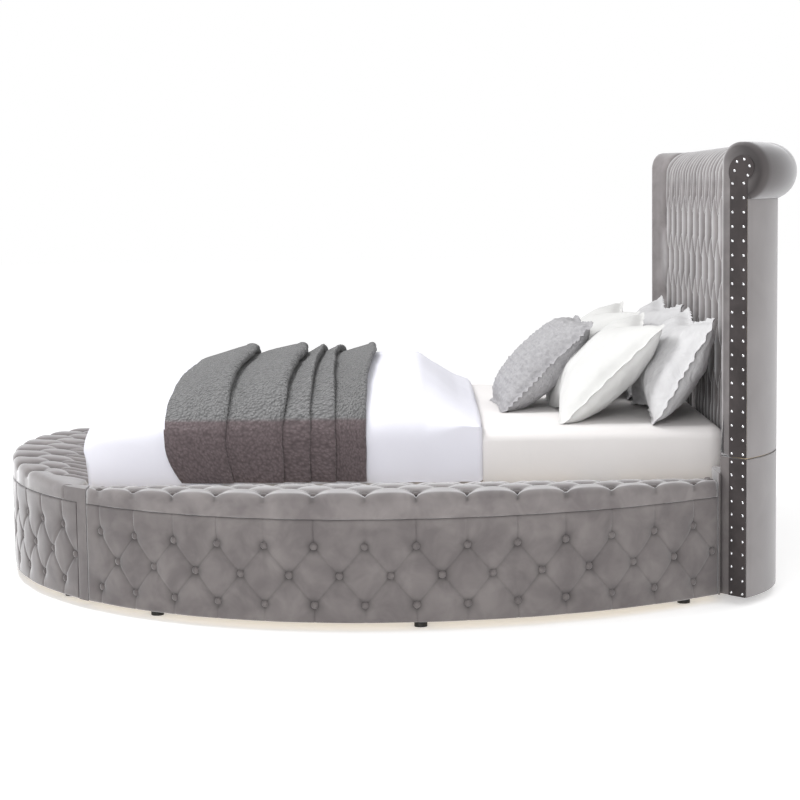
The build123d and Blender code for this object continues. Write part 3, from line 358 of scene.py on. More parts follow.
# %% [markdown]
# ## Meshes from sections
# Upholstery is long and bent, so each pad is described by its section and swept along the frame. The grid
# of points is closed round the section, its ends are capped, and the tufts push points in along the
# section's own normals. Everything is worked out in millimetres and stored in metres. Where a section runs
# behind the cloth, its distance over the cloth is set to a mark, NOT_CLOTH, so that nothing is tufted there.

# %% Mesh helpers
WELD = 1e-5
NOT_CLOTH = 1e4


def only(obj):
    """Select one object and nothing else."""
    for each in bpy.context.view_layer.objects:
        each.select_set(False)
    obj.select_set(True)
    bpy.context.view_layer.objects.active = obj


def shade(obj, degrees):
    """Smooth shading, with edges sharper than the angle left crisp."""
    only(obj)
    bpy.ops.object.shade_smooth_by_angle(angle=math.radians(degrees), keep_sharp_edges=False)


def apply_modifier(obj, modifier):
    only(obj)
    bpy.ops.object.modifier_apply(modifier=modifier.name)


def mesh_object(name, points_mm, faces, material, **marks):
    """A mesh from points in millimetres, with its faces pointing outwards. marks are values kept per point.
    """
    mesh = bpy.data.meshes.new(name)
    mesh.from_pydata((np.asarray(points_mm, float) * MM).tolist(), [], faces)
    for mark, values in marks.items():
        kept = mesh.attributes.new(mark, "FLOAT", "POINT")
        kept.data.foreach_set("value", np.clip(np.asarray(values, np.float32).ravel(), 0, 1))
    obj = bpy.data.objects.new(name, mesh)
    bpy.context.scene.collection.objects.link(obj)
    mesh.materials.append(material)
    only(obj)
    bpy.ops.object.mode_set(mode="EDIT")
    bpy.ops.mesh.select_all(action="SELECT")
    bpy.ops.mesh.remove_doubles(threshold=WELD)
    bpy.ops.mesh.normals_make_consistent(inside=False)
    bpy.ops.object.mode_set(mode="OBJECT")
    return obj


def swept(name, loops, material, **marks):
    """loops has the shape (sections, points, 3). Each section is closed and both ends are capped."""
    count, size, _ = loops.shape
    faces = []
    for i in range(count - 1):
        for j in range(size):
            k = (j + 1) % size
            faces.append((i * size + j, i * size + k, (i + 1) * size + k, (i + 1) * size + j))
    faces.append(tuple(range(size)))
    faces.append(tuple((count - 1) * size + j for j in range(size)))
    return mesh_object(name, loops.reshape(-1, 3), faces, material, **marks)


def section_normals(sections):
    """Outward unit normals of closed 2-D sections, shape (n, m, 2)."""
    ahead, behind = np.roll(sections, -1, axis=1), np.roll(sections, 1, axis=1)
    along = ahead - behind
    normal = np.stack([along[..., 1], -along[..., 0]], axis=-1)
    normal /= np.maximum(np.linalg.norm(normal, axis=-1, keepdims=True), 1e-9)
    x, y = sections[..., 0], sections[..., 1]
    area = np.sum(x * np.roll(y, -1, axis=1) - np.roll(x, -1, axis=1) * y, axis=1)
    return normal * np.sign(area)[:, None, None]


def rounded_end(distance, radius):
    """How far a soft end of this radius lies below the flat, at a distance in from that end."""
    return radius - np.sqrt(np.maximum(0, radius**2 - np.maximum(0, radius - distance) ** 2))


def for_side(points, mirrored):
    """The plan as it is for the right side, or its mirror image for the left."""
    return points * np.array([-1.0, 1.0]) if mirrored else points


def steps(low, high, size):
    """Evenly spaced values from low to high, about size apart."""
    return np.linspace(low, high, max(2, int(round((high - low) / size)) + 1))


# %% [markdown]
# ## Tufting
# A tuft is a button pulled through the pad. Round it the velvet sinks in a steep little crater, and the
# spare cloth is folded away in a crease that runs to each neighbouring button. Past the outermost buttons
# the spare cloth has nowhere to go but straight out, so it lies in a straight pleat to the pad's edge.

# %% Tufting helper


def tufting(s, q, buttons, creases, pleats, crater, crease, pleat, fine):
    """How deep the surface lies at (s, q) on the unrolled pad, all in mm.

    crater, crease and pleat are each a depth and a reach. fine is the depth and reach of the sharp
    line where the folded cloth meets itself.
    """
    total, line = np.zeros_like(s), np.zeros_like(s)
    for bs, bq in buttons:
        near = np.hypot(s - bs, q - bq)
        total += (crater[0] * np.exp(-(near / crater[1]) ** 1.25)) ** 3
    for (s0, q0), (s1, q1) in creases:
        ds, dq = s1 - s0, q1 - q0
        length = ds * ds + dq * dq
        share = np.clip(((s - s0) * ds + (q - q0) * dq) / length, 0, 1)
        off = np.hypot(s - s0 - share * ds, q - q0 - share * dq)
        deep = 0.6 + 0.4 * np.abs(2 * share - 1) ** 1.5
        total += (crease[0] * deep * np.exp(-(off / crease[1]) ** 1.15)) ** 3
        line = np.maximum(line, deep * np.exp(-(off / fine[1]) ** 2))
    for bs, q0, q1, fade in pleats:
        low, high = min(q0, q1), max(q0, q1)
        past = np.maximum(np.maximum(low - q, q - high), 0)
        deep = (1 - fade * np.clip((q - q0) / (q1 - q0), 0, 1)) * np.exp(-(past / 12) ** 2)
        total += (pleat[0] * deep * np.exp(-np.abs(s - bs) / pleat[1])) ** 3
        line = np.maximum(line, deep * np.exp(-((s - bs) / fine[1]) ** 2))
    return total ** (1 / 3) + fine[0] * line


# %% [markdown]
# ## The round base
# The plan is a half circle at the foot and a flatter arc towards the headboard. These are the frame's own
# sizes, so the velvet lies exactly round the plywood walls inside it.

# %% Ring sizes and stations
RING, HEAD_ARC = 1320.0, 1745.0
SEAM_Y, HEAD_Y = -925.0, 1060.0
FLOOR_Z, SEAM_Z = 26.0, 338.0
ARC_X = RING - HEAD_ARC
FOOT_TURN = math.asin(-SEAM_Y / RING)
FOOT_ARC = RING * FOOT_TURN
SIDE_RUN = FOOT_ARC + HEAD_ARC * math.asin(HEAD_Y / HEAD_ARC)
FOOT_RAIL_Y = SEAM_Y - 35.0
FOOT_HALF = RING * (math.pi / 2 - math.asin(-FOOT_RAIL_Y / RING))
SIDE_STEP, SIDE_START = 77.0, 62.0
FOOT_STEP, END_MARGIN = 75.2, 20.0
ROWS = (79.0, 168.0, 256.0)


def side_line(s):
    """Points and outward normals of the right-hand bench, s mm along from the foot seam."""
    turn = np.where(s < FOOT_ARC, s / RING - FOOT_TURN, (s - FOOT_ARC) / HEAD_ARC)
    radius = np.where(s < FOOT_ARC, RING, HEAD_ARC)
    middle = np.where(s < FOOT_ARC, 0.0, ARC_X)
    normal = np.stack([np.cos(turn), np.sin(turn)], -1)
    return np.stack([middle + radius * normal[..., 0], radius * normal[..., 1]], -1), normal


def foot_line(s):
    """The foot bench, s mm either way from its middle."""
    turn = s / RING - math.pi / 2
    normal = np.stack([np.cos(turn), np.sin(turn)], -1)
    return RING * normal, normal


side_count = int((SIDE_RUN - SIDE_START - END_MARGIN) / SIDE_STEP) + 1
side_stations = [SIDE_START + i * SIDE_STEP for i in range(side_count)]
foot_count = int((FOOT_HALF - END_MARGIN) / FOOT_STEP)
foot_stations = [i * FOOT_STEP for i in range(-foot_count, foot_count + 1)]
print("side bench", round(SIDE_RUN), "mm with", side_count, "columns of tufts")
print("foot bench", round(2 * FOOT_HALF), "mm with", len(foot_stations), "columns")

# %% Bench pads


def deep_points(stations, rows, first_is_outer):
    """Deep points by (column, row), so that neighbours can be joined."""
    found = {}
    for i, s in enumerate(stations):
        outer = (i % 2 == 0) == first_is_outer
        for r in range(len(rows)):
            if (r % 2 == 0) == outer:
                found[i, r] = (s, rows[r])
    return found


def diagonals(found):
    """Every pair of deep points that are one column and one row apart."""
    return [
        (point, found[i + 1, r + step])
        for (i, r), point in found.items() for step in (-1, 1) if (i + 1, r + step) in found
    ]


PAD_GRID, PAD_EDGE, PAD_END = 4.0, 9.0, 7.0
PAD_LIP, PAD_BACK = 14.0, 20.0
PAST_EDGE, END_TURN = 10.0, 90.0
WAVE_DEEP, WAVE_ALONG, WAVE_UP = 1.2, 41.0, 37.0
BASE_TUFTS = {"crater": (14.0, 20.0), "crease": (5.5, 9.0), "pleat": (4.0, 5.0), "fine": (2.6, 3.6)}


def pad_section():
    """Points (depth in from the face, height) from the back's foot, up the face, to the back's top."""
    turn = np.linspace(0, math.pi / 2, 5)
    low, high = FLOOR_Z + 0.2, SEAM_Z - 0.3
    rise = [(PAD_BACK, low + 0.4), (PAD_LIP, low)]
    rise += [(PAD_EDGE * (1 - math.sin(t)), low + PAD_EDGE * (1 - math.cos(t))) for t in turn]
    rise += [(0.0, z) for z in steps(FLOOR_Z + PAD_EDGE, SEAM_Z - PAD_EDGE, PAD_GRID)[1:-1]]
    rise += [(PAD_EDGE * (1 - math.cos(t)), high - PAD_EDGE * (1 - math.sin(t))) for t in turn]
    return np.array(rise + [(PAD_LIP, high), (PAD_BACK, high - 0.3)])


def bench_pad(name, node, line, low_s, high_s, stations, first_is_outer, mirrored=False):
    """One tufted outer face, from low_s to high_s along the ring's line."""
    section = pad_section()
    s, z = np.meshgrid(steps(low_s, high_s, PAD_GRID), section[:, 1], indexing="ij")
    found = deep_points(stations, ROWS, first_is_outer)
    pleats = [
        (x, q, SEAM_Z + PAST_EDGE if r == 2 else FLOOR_Z - PAST_EDGE, 0.5)
        for (i, r), (x, q) in found.items() if r != 1
    ]
    sunk = tufting(s, z, found.values(), diagonals(found), pleats, **BASE_TUFTS)
    sunk += WAVE_DEEP * np.sin(s / WAVE_ALONG) * np.sin(z / WAVE_UP)
    ends = np.minimum(s - low_s, high_s - s)
    sunk += np.maximum(0, rounded_end(ends, PAD_END))
    depth = section[None, :, 0] + sunk * (section[None, :, 0] < PAD_LIP - 1)
    depth = np.minimum(depth, PAD_BACK)
    points, normal = line(s)
    towards = np.where(points[..., :1] > 0, -1.0, 1.0) * np.array([1.0, 0.0])
    blend = np.clip(1 - ends / END_TURN, 0, 1)[..., None] ** 2
    inward = -normal * (1 - blend) + towards * blend
    inward /= np.linalg.norm(inward, axis=-1, keepdims=True)
    plan = for_side(points + inward * depth[..., None], mirrored)
    # The value kept per point is painted shade, from how deep the tufting sinks the surface.
    pad = swept(name, np.concatenate([plan, z[..., None]], -1), velvet, pressed=(sunk - 1) / 13)
    shade(pad, 60)
    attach(pad, "bed")
    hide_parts(node)
    print(name, "has", len(found), "tufts and", len(pad.data.polygons), "faces")


FIRST_FOOT_OUTER = foot_count % 2 == 0
PAD_GAP = 0.4
for side, mirrored in (("right", False), ("left", True)):
    bench_pad(
        f"tufted_base_{side}", f"bench_pad_{side}", side_line, PAD_GAP, SIDE_RUN - PAD_GAP,
        side_stations, True, mirrored,
    )
bench_pad(
    "tufted_base_foot", "bench_pad_foot", foot_line, -FOOT_HALF + PAD_GAP, FOOT_HALF - PAD_GAP,
    foot_stations, FIRST_FOOT_OUTER,
)

# %% [markdown]
# ## Padded lids
# Each lid is a board under thick upholstery. Its outer band hangs plumb above the base, the top edge is
# soft and scalloped where the pleats cross it, and the top falls gently to the hinge beside the mattress.

# %% Lid pads
RAIL_TOP = 352.3
SIDE_LID_X, FOOT_LID_Y = 817.0, -965.0
LID_LOW, LID_RISE, LID_CROWN = RAIL_TOP + 22.0, 38.0, 10.0
LID_GAP, LID_GRID, LID_END = 2.0, 8.0, 8.0
FOOT_TIP = 45.0
FOOT_LID_HALF = math.sqrt(RING**2 - (FOOT_TIP - FOOT_LID_Y) ** 2)
SHOULDER, BAND_PUFF = 26.0, 3.5
BOARD_EDGE, BAND_THICK = 14.2, 3.0
LID_INSET, LID_NARROW, BAND_Q = 16.0, 150.0, -90.0
LID_TUFTS = {"crater": (21.0, 24.0), "crease": (13.0, 16.0), "pleat": (20.0, 17.0), "fine": (3.0, 4.5)}


def ring_x(y):
    """How far out the side benches' outer face stands, at y."""
    return np.where(y < 0, np.sqrt(RING**2 - y**2), ARC_X + np.sqrt(np.maximum(HEAD_ARC**2 - y**2, 0)))


def lid_sections(width, full_width):
    """Closed 2-D sections (distance in from the outer edge, height) and q, the distance over the top."""
    curve = np.minimum(SHOULDER, 0.3 * width)
    top = LID_LOW + LID_RISE / full_width * width + 4.0
    parts, q = [], []
    low = SEAM_Z + 0.5
    for share in np.linspace(0, 1, 7)[:-1]:
        z = low + 2 + share * (top - curve - low - 2)
        parts.append((np.zeros_like(width), z))
        q.append(z - (top - curve) - curve * math.pi / 2)
    for t in np.linspace(0, math.pi / 2, 8):
        parts.append((curve * (1 - np.cos(t)), top - curve * (1 - np.sin(t))))
        q.append(curve * (t - math.pi / 2))
    for share in np.linspace(0, 1, 62)[1:]:
        into = curve + share * (width - 6.0 - curve)
        crown = LID_CROWN * 4 * share * (1 - share) * np.minimum(1, width / full_width + 0.2)
        parts.append((into, top + (LID_LOW + 2 - top) * share + crown))
        q.append(into - curve)
    parts.append((width - 1.5, np.full_like(width, LID_LOW - 2)))
    q.append(width - curve)
    parts.append((width, np.full_like(width, LID_LOW - 8)))
    q.append(width - curve + 8)
    under = RAIL_TOP + 2.0
    for into, z in ((width, under), (BOARD_EDGE, under), (BOARD_EDGE, low + 0.3), (BAND_THICK, low)):
        parts.append((into + np.zeros_like(width), z + np.zeros_like(width)))
        q.append(np.full_like(width, NOT_CLOTH))
    return np.stack([np.stack(p, -1) for p in parts], 1), np.stack(q, 1), curve


def lid_pad(name, node, body, along, widths_at, to_plan, stations, row_shares, first_is_outer, full_width,
            mirrored=False):
    """One lid's cover. widths_at and to_plan say how wide the lid is and where it lies in plan."""
    width = widths_at(along)
    sections, q, curve = lid_sections(width, full_width)
    s = np.repeat(along[:, None], q.shape[1], axis=1)
    found = {}
    for i, place in enumerate(stations):
        outer = (i % 2 == 0) == first_is_outer
        w = float(widths_at(np.array([place]))[0])
        for r, share in enumerate(row_shares):
            if (r % 2 == 0) == outer and w > LID_NARROW:
                found[i, r] = (place, LID_INSET + share * (w - LID_INSET) - min(SHOULDER, 0.3 * w))
    fade = np.minimum(1, width / full_width + 0.25)[:, None]
    pleats = [(x, at, BAND_Q, 0.55) for (i, r), (x, at) in found.items() if r == 0]
    inner_rows = len(row_shares) - 2
    pleats += [
        (x, at, float(widths_at(np.array([x]))[0]), 0.6)
        for (i, r), (x, at) in found.items() if r >= inner_rows
    ]
    sunk = fade * tufting(s, q, found.values(), diagonals(found), pleats, **LID_TUFTS)
    sunk += rounded_end(np.minimum(s - along[0], along[-1] - s), LID_END)
    on_band = q < -curve[:, None] * 1.57 - 2
    sunk = np.where(q > NOT_CLOTH / 2, 0, np.where(on_band, np.minimum(sunk, BAND_PUFF), sunk))
    sections = sections - section_normals(sections) * sunk[..., None]
    plan = for_side(to_plan(s, sections[..., 0]), mirrored)
    # The value kept per point is painted shade, from how deep the tufting sinks the surface.
    pad = swept(name, np.concatenate([plan, sections[..., 1:]], -1), velvet_lid, pressed=(sunk - 3) / 18)
    shade(pad, 60)
    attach(pad, body)
    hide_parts(node)
    print(name, "has", len(found), "tufts and", len(pad.data.polygons), "faces")


# %% Side lids


def side_widths(y):
    return ring_x(y) - SIDE_LID_X


def side_plan(y, into):
    return np.stack([ring_x(y) - into, y], -1)


side_along = steps(SEAM_Y + LID_GAP, HEAD_Y - LID_GAP, LID_GRID)
side_lid_y = [float(side_line(np.array([s]))[0][0, 1]) for s in side_stations]
for side, mirrored in (("right", False), ("left", True)):
    lid_pad(
        f"tufted_lid_{side}", f"lid_pad_{side}", f"lid_{side}", side_along, side_widths, side_plan,
        side_lid_y, (0.14, 0.35, 0.56, 0.77), True, RING - SIDE_LID_X, mirrored,
    )

# %% Foot lid


def foot_widths(x):
    return np.sqrt(RING**2 - x**2) + FOOT_LID_Y


def foot_plan(x, into):
    return np.stack([x, into - np.sqrt(RING**2 - x**2)], -1)


foot_lid_x = [RING * math.sin(s / RING) for s in foot_stations]
lid_pad(
    "tufted_lid_foot", "lid_pad_foot", "lid_foot", steps(-FOOT_LID_HALF, FOOT_LID_HALF, LID_GRID),
    foot_widths, foot_plan, foot_lid_x, (0.18, 0.45, 0.72), FIRST_FOOT_OUTER, RING + FOOT_LID_Y,
)

# %% [markdown]
# ## The headboard's velvet
# One cloth covers the tufted front, runs over the crest in straight pleats and rolls over the back as a
# fat scroll. The headboard is flat in the middle and bends forward at both ends, so a station is measured
# along its front line, and each section stands between its front point and its back point.

# %% Headboard stations
FRONT_Y, BOARD_DEPTH = 1118.0, 167.0
FRONT_FLAT, FRONT_BEND = 791.0, 231.0
BACK_FLAT, BACK_BEND = 666.0, 492.0
FRONT_TURN, BACK_TURN = math.radians(38.0), math.radians(45.0)
BOARD_TOP, JOINT_Z = 1438.0, 462.0
FRONT_RUN = FRONT_FLAT + FRONT_BEND * FRONT_TURN
BEND_START = math.asin((FRONT_FLAT - BACK_FLAT) / BACK_BEND)


def board_lines(run):
    """Front points, and unit directions and distances to the back points, at stations either way."""
    side, run = np.sign(run) + (run == 0), np.abs(run)
    past = np.maximum(0, run - FRONT_FLAT)
    turn = past / FRONT_BEND
    front = np.stack([
        np.minimum(run, FRONT_FLAT) + FRONT_BEND * np.sin(turn),
        FRONT_Y - FRONT_BEND + FRONT_BEND * np.cos(turn),
    ], -1)
    flat_turn = np.arcsin(np.clip((run - BACK_FLAT) / BACK_BEND, 0, 1))
    bent_turn = BEND_START + (BACK_TURN - BEND_START) * past / (FRONT_RUN - FRONT_FLAT)
    back_turn = np.where(run <= FRONT_FLAT, flat_turn, bent_turn)
    back = np.stack([
        np.where(run <= BACK_FLAT, run, BACK_FLAT + BACK_BEND * np.sin(back_turn)),
        FRONT_Y + BOARD_DEPTH - BACK_BEND + BACK_BEND * np.cos(back_turn),
    ], -1)
    front[..., 0] *= side
    back[..., 0] *= side
    width = np.linalg.norm(back - front, axis=-1)
    return front, (back - front) / width[..., None], width


print("headboard front:", round(2 * FRONT_RUN), "mm along its bend")

# %% Headboard section
PAD_LOW, PLUMB_TOP = JOINT_Z + 2.8, 1336.0
HEAD_GRID = 7.0
SCROLL_R, SCROLL_OUT = 90.0, 60.0
SCROLL_Z = BOARD_TOP - SCROLL_R
UNDER_TURN = math.acos((SCROLL_R - SCROLL_OUT) / SCROLL_R)
UNDER_Z = SCROLL_Z - SCROLL_R * math.sin(UNDER_TURN)
CORE, CORE_Z = 39.4, 900.0


def board_sections(width):
    """Closed sections (distance in from the front, height) and q, the distance up and over."""
    crest = 0.6 * width
    roll = width + SCROLL_OUT - SCROLL_R
    crest_low = BOARD_TOP - crest
    crest_end = PLUMB_TOP + crest * 1.57
    parts, q = [], []
    zero = np.zeros_like(width)
    for z in steps(PAD_LOW, PLUMB_TOP, HEAD_GRID):
        parts.append((zero, zero + z))
        q.append(zero + z)
    for t in np.linspace(0, math.pi / 2, 15)[1:]:
        parts.append((crest * (1 - np.cos(t)), crest_low + crest * np.sin(t)))
        q.append(PLUMB_TOP + crest * t)
    for share in np.linspace(0, 1, 5)[1:-1]:
        parts.append((crest + share * (roll - crest), zero + BOARD_TOP))
        q.append(crest_end + share * (roll - crest))
    for t in np.linspace(math.pi / 2, -UNDER_TURN, 30):
        parts.append((roll + SCROLL_R * math.cos(t), zero + SCROLL_Z + SCROLL_R * math.sin(t)))
        q.append(crest_end + (roll - crest) + SCROLL_R * (math.pi / 2 - t))
    under = UNDER_Z + 0.3
    for into, z in ((width - 1, under), (CORE, under), (CORE, CORE_Z), (CORE, PAD_LOW + 1)):
        parts.append((into + zero, z + zero))
        q.append(zero + NOT_CLOTH)
    return np.stack([np.stack(p, -1) for p in parts], 1), np.stack(q, 1)


# %% Headboard upholstery
HEAD_STEP, HEAD_MARGIN = 75.0, 26.0
HEAD_ROWS = [1304.0 - 140.0 * r for r in range(6)]
HEAD_TUFTS = {"crater": (27.0, 24.0), "crease": (21.0, 16.0), "pleat": (18.0, 13.0), "fine": (2.5, 5.0)}
CREST_PLEATS, ROLL_START = 1620.0, 1640.0
PUFF, ROUND, DEEPEST = 5.0, 14.0, 34.0
head_count = int((FRONT_RUN - HEAD_MARGIN - HEAD_STEP / 2) / HEAD_STEP)
head_stations = [i * HEAD_STEP for i in range(-head_count, head_count + 1)]
run = steps(-FRONT_RUN, FRONT_RUN, HEAD_GRID)
front, across, width = board_lines(run)
sections, q = board_sections(width)
s = np.repeat(run[:, None], q.shape[1], axis=1)
found = deep_points(head_stations, HEAD_ROWS, head_count % 2 == 0)
pleats = [(x, at, CREST_PLEATS, 0.8) for (i, r), (x, at) in found.items() if r == 0]
pleats += [(x, at, CREST_PLEATS, 0.9) for (i, r), (x, at) in found.items() if r == 1]
pleats += [(x, at, PAD_LOW - PAST_EDGE, 0.4) for (i, r), (x, at) in found.items() if r >= 4]
sunk = tufting(s, q, found.values(), diagonals(found), pleats, **HEAD_TUFTS)
sunk *= np.clip((ROLL_START - q) / 120, 0, 1)
ends = np.minimum(s + FRONT_RUN, FRONT_RUN - s)
inside = np.clip(ends / 60, 0, 1) * np.clip((q - PAD_LOW) / 60, 0, 1)
sunk -= PUFF * inside * np.clip((1400 - q) / 120, 0, 1)
sunk += rounded_end(ends, ROUND)
sunk = np.where(q > NOT_CLOTH / 2, 0, np.minimum(sunk, DEEPEST))
# Painted shade over the back of the roll: zero at the front, rising to one across the middle of the
# section's depth.
turned = np.clip((sections[..., 0] / width[:, None] - 0.25) / 0.5, 0, 1)
sections = sections - section_normals(sections) * sunk[..., None]
plan = front[:, None, :] + across[:, None, :] * sections[..., :1]
# The two values kept per point are painted shade: in the tufts, and over the back of the roll.
headboard = swept(
    "headboard_velvet", np.concatenate([plan, sections[..., 1:]], -1), velvet_front,
    pressed=(sunk - 2) / 20, turned=turned,
)
shade(headboard, 60)
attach(headboard, "bed")
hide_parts("headboard_pad", "headboard_scroll")
print("headboard velvet:", len(found), "tufts and", len(headboard.data.polygons), "faces")

# %% [markdown]
# ## Buttons and nails
# The frame already says where each button and nail sits and which way it faces, so those places are read
# from it. A covered button is a low velvet dome, and a nail is a smaller, polished one. Each is modelled
# once from a sphere, cut and flattened, and its few faces are repeated at every place.

# %% Button and nail domes


def islands(node):
    """Base centre and direction of every small pyramid in a frame node, in millimetres."""
    copy = bmesh.new()
    copy.from_mesh(frame["nodes"][node].data)
    bmesh.ops.remove_doubles(copy, verts=copy.verts, dist=WELD)
    left, places = set(copy.verts), []
    for first in copy.verts:
        if first not in left:
            continue
        left.remove(first)
        todo, group = [first], []
        while todo:
            vert = todo.pop()
            group.append(vert)
            for edge in vert.link_edges:
                other = edge.other_vert(vert)
                if other in left:
                    left.remove(other)
                    todo.append(other)
        points = np.array([v.co[:] for v in group]) * 1000
        spread = [np.linalg.norm(points - p, axis=1).std() for p in points]
        tip = points[int(np.argmin(spread))]
        base = (points.sum(0) - tip) / (len(points) - 1)
        axis = (tip - base) / np.linalg.norm(tip - base)
        places.append((base, axis))
    copy.free()
    return places


def dome(radius, height, sides, rings):
    """Points and faces of a low dome, from a primitive sphere cut at its middle."""
    bpy.ops.mesh.primitive_uv_sphere_add(segments=sides, ring_count=rings * 2, radius=1.0)
    ball = bpy.context.object
    bpy.ops.object.mode_set(mode="EDIT")
    bpy.ops.mesh.select_all(action="SELECT")
    bpy.ops.mesh.bisect(plane_co=(0, 0, -0.001), plane_no=(0, 0, 1), clear_inner=True, use_fill=True)
    bpy.ops.object.mode_set(mode="OBJECT")
    points = np.array([v.co[:] for v in ball.data.vertices])
    faces = [tuple(p.vertices) for p in ball.data.polygons]
    bpy.data.objects.remove(ball)
    return points * np.array([radius, radius, height]), faces


def repeat_dome(name, node, body, shape, material):
    """The same dome at every place of a frame node, as one piece."""
    points, faces = shape
    all_points, all_faces = [], []
    for base, axis in islands(node):
        turn = np.array(Vector(axis).to_track_quat("Z", "Y").to_matrix())
        start = len(points) * len(all_points)
        all_faces += [tuple(start + i for i in f) for f in faces]
        all_points.append(points @ turn.T + base)
    made = mesh_object(name, np.concatenate(all_points), all_faces, material)
    shade(made, 50)
    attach(made, body)
    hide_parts(node)
    print(name + ":", len(all_points), "domes")


# %% Buttons and nails in place
button = dome(12.0, 8.5, 12, 3)
nail = dome(5.0, 3.2, 10, 3)
for place in ("right", "left", "foot"):
    for name, node, body in (
        (f"base_buttons_{place}", f"bench_buttons_{place}", "bed"),
        (f"lid_top_buttons_{place}", f"lid_buttons_{place}", f"lid_{place}"),
    ):
        repeat_dome(name, node, body, button, velvet_button)
repeat_dome("headboard_front_buttons", "headboard_buttons", "bed", button, velvet_button)
repeat_dome("nail_domes", "nailheads", "bed", nail, chrome)

# %% [markdown]
# ## Covers cut from the frame
# Posts, strips and the plain back are thin velvet over board, so their shapes are already right. A copy of
# each is merged, its flat faces are joined, and its edges are softened, because cloth never turns a
# knife-sharp corner.

# %% Softened copies


def softened(node, name, bevel_mm, material, segments=3):
    """A copy of a frame node under cloth, with rounded edges, that rides on the node's own body."""
    source = frame["nodes"][node]
    obj = bpy.data.objects.new(name, source.data.copy())
    bpy.context.scene.collection.objects.link(obj)
    obj.data.materials.clear()
    obj.data.materials.append(material)
    only(obj)
    bpy.ops.object.mode_set(mode="EDIT")
    bpy.ops.mesh.select_all(action="SELECT")
    bpy.ops.mesh.remove_doubles(threshold=WELD)
    bpy.ops.mesh.dissolve_limited(angle_limit=math.radians(0.5))
    bpy.ops.object.mode_set(mode="OBJECT")
    bevel = obj.modifiers.new("soft_edges", "BEVEL")
    bevel.width, bevel.segments, bevel.limit_method = bevel_mm * MM, segments, "ANGLE"
    bevel.angle_limit = math.radians(35)
    apply_modifier(obj, bevel)
    shade(obj, 40)
    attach(obj, frame["nodes"][node]["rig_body"])
    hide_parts(node)
    print(name + ":", bevel_mm, "mm edges,", len(obj.data.polygons), "faces")


softened("end_posts", "corner_posts", 6.0, velvet, 4)
softened("headboard_back", "headboard_back_velvet", 1.5, velvet_back)
softened("headboard_lower", "headboard_box_velvet", 2.0, velvet)
softened("nail_strips", "nail_strip_velvet", 1.2, velvet_strip)

# %% [markdown]
# ## Mattress and duvet
# The mattress is a plain block with soft edges under a fitted sheet. The duvet is a full feather quilt that
# stands up in the middle, hangs plumb at the sides down to the lids, and drops over the foot.

# %% Mattress
MAT_HALF, MAT_TOP, MAT_FOOT = 762.0, 535.0, -916.0
softened("mattress", "fitted_sheet", 16.0, sheet_cotton, 4)

# %% Duvet's form
DUVET_HALF, HEM_Z, DRAWN_IN = 783.0, 366.0, 13.0
THROW_FOOT, THROW_HEAD = -700.0, -20.0
DUVET_FOOT, DUVET_HEAD = -942.0, 330.0
duvet_y = (-942, -925, -900, -865, -820, -750, -680, -600, -520, -440, -60, 60, 130, 196, 263, 300, 330)
duvet_crown = (580, 604, 626, 646, 662, 678, 686, 694, 702, 706, 706, 716, 710, 660, 604, 582, 566)
shoulder_y = (DUVET_FOOT, -905, 150, 263, DUVET_HEAD)
shoulder_z = (474, 492, 492, 544, 544)


def shoulder(y):
    """Height where the duvet's top starts to turn into its plumb side."""
    return np.interp(y, shoulder_y, shoulder_z)


def duvet_top(x, y):
    """Height of the duvet's outer surface over its top, in mm."""
    crown = np.interp(y, duvet_y, duvet_crown)
    share = np.clip(np.abs(x) / DUVET_HALF, 0, 1)
    return shoulder(y) + (crown - shoulder(y)) * (1 - share**2.6) ** 0.38


def under_throw(y):
    """1 where the throw presses on the duvet, 0 away from it."""
    return float(np.clip(min(y - THROW_FOOT + 20, THROW_HEAD + 10 - y) / 40, 0, 1))


def duvet_section(y):
    """Half a section, from the crown out and down to the hem. The throw draws its sides in."""
    half = DUVET_HALF - DRAWN_IN * under_throw(y)
    turn = np.linspace(0, 1, 60)
    x = half * (1 - (1 - turn) ** 3.0)
    z = duvet_top(x * DUVET_HALF / half, np.full_like(x, y))
    down = np.linspace(shoulder(y), HEM_Z, 16)[1:]
    return np.concatenate([x, np.full_like(down, half)]), np.concatenate([z, down])


print("duvet: crown", max(duvet_crown), "mm high,", DUVET_HEAD - DUVET_FOOT, "mm long")

# %% Duvet
FOOT_FALL, HEAD_FALL = -850.0, 140.0
DUVET_END, FOOT_BULGE = 9.0, 13.0
INSIDE_X = MAT_HALF + 0.5
ys = np.concatenate([
    steps(DUVET_FOOT, FOOT_FALL, 8.0),
    steps(FOOT_FALL, HEAD_FALL, 14.0)[1:],
    steps(HEAD_FALL, DUVET_HEAD, 10.0)[1:],
])
loops = []
for y in ys:
    x, z = duvet_section(y)
    roof = MAT_TOP + 0.4 if y > MAT_FOOT - 0.6 else HEM_Z + 0.4
    inner = [(INSIDE_X, HEM_Z), (INSIDE_X, roof), (0, roof), (-INSIDE_X, roof), (-INSIDE_X, HEM_Z)]
    outer = np.concatenate([np.stack([-x[::-1], z[::-1]], -1), np.stack([x[1:], z[1:]], -1)])
    loops.append(np.concatenate([outer, np.array(inner, float)]))
sections = np.stack(loops)
count_out = len(outer)
soft = np.zeros(sections.shape[:2])
for i, y in enumerate(ys):
    for j in range(count_out):
        x, z = sections[i, j]
        at = Vector((x / 330, y / 260, z / 330))
        soft[i, j] = 7.0 * noise.noise(at) + 3.0 * noise.noise(at * 2.7)
soft -= rounded_end(np.minimum(ys - ys[0], ys[-1] - ys)[:, None], DUVET_END)
soft[:, count_out:] = 0
side_share = np.clip((MAT_HALF - 5 - np.abs(sections[..., 0])) / 60, 0, 1)
soft = np.where(soft > 0, soft * side_share, soft)
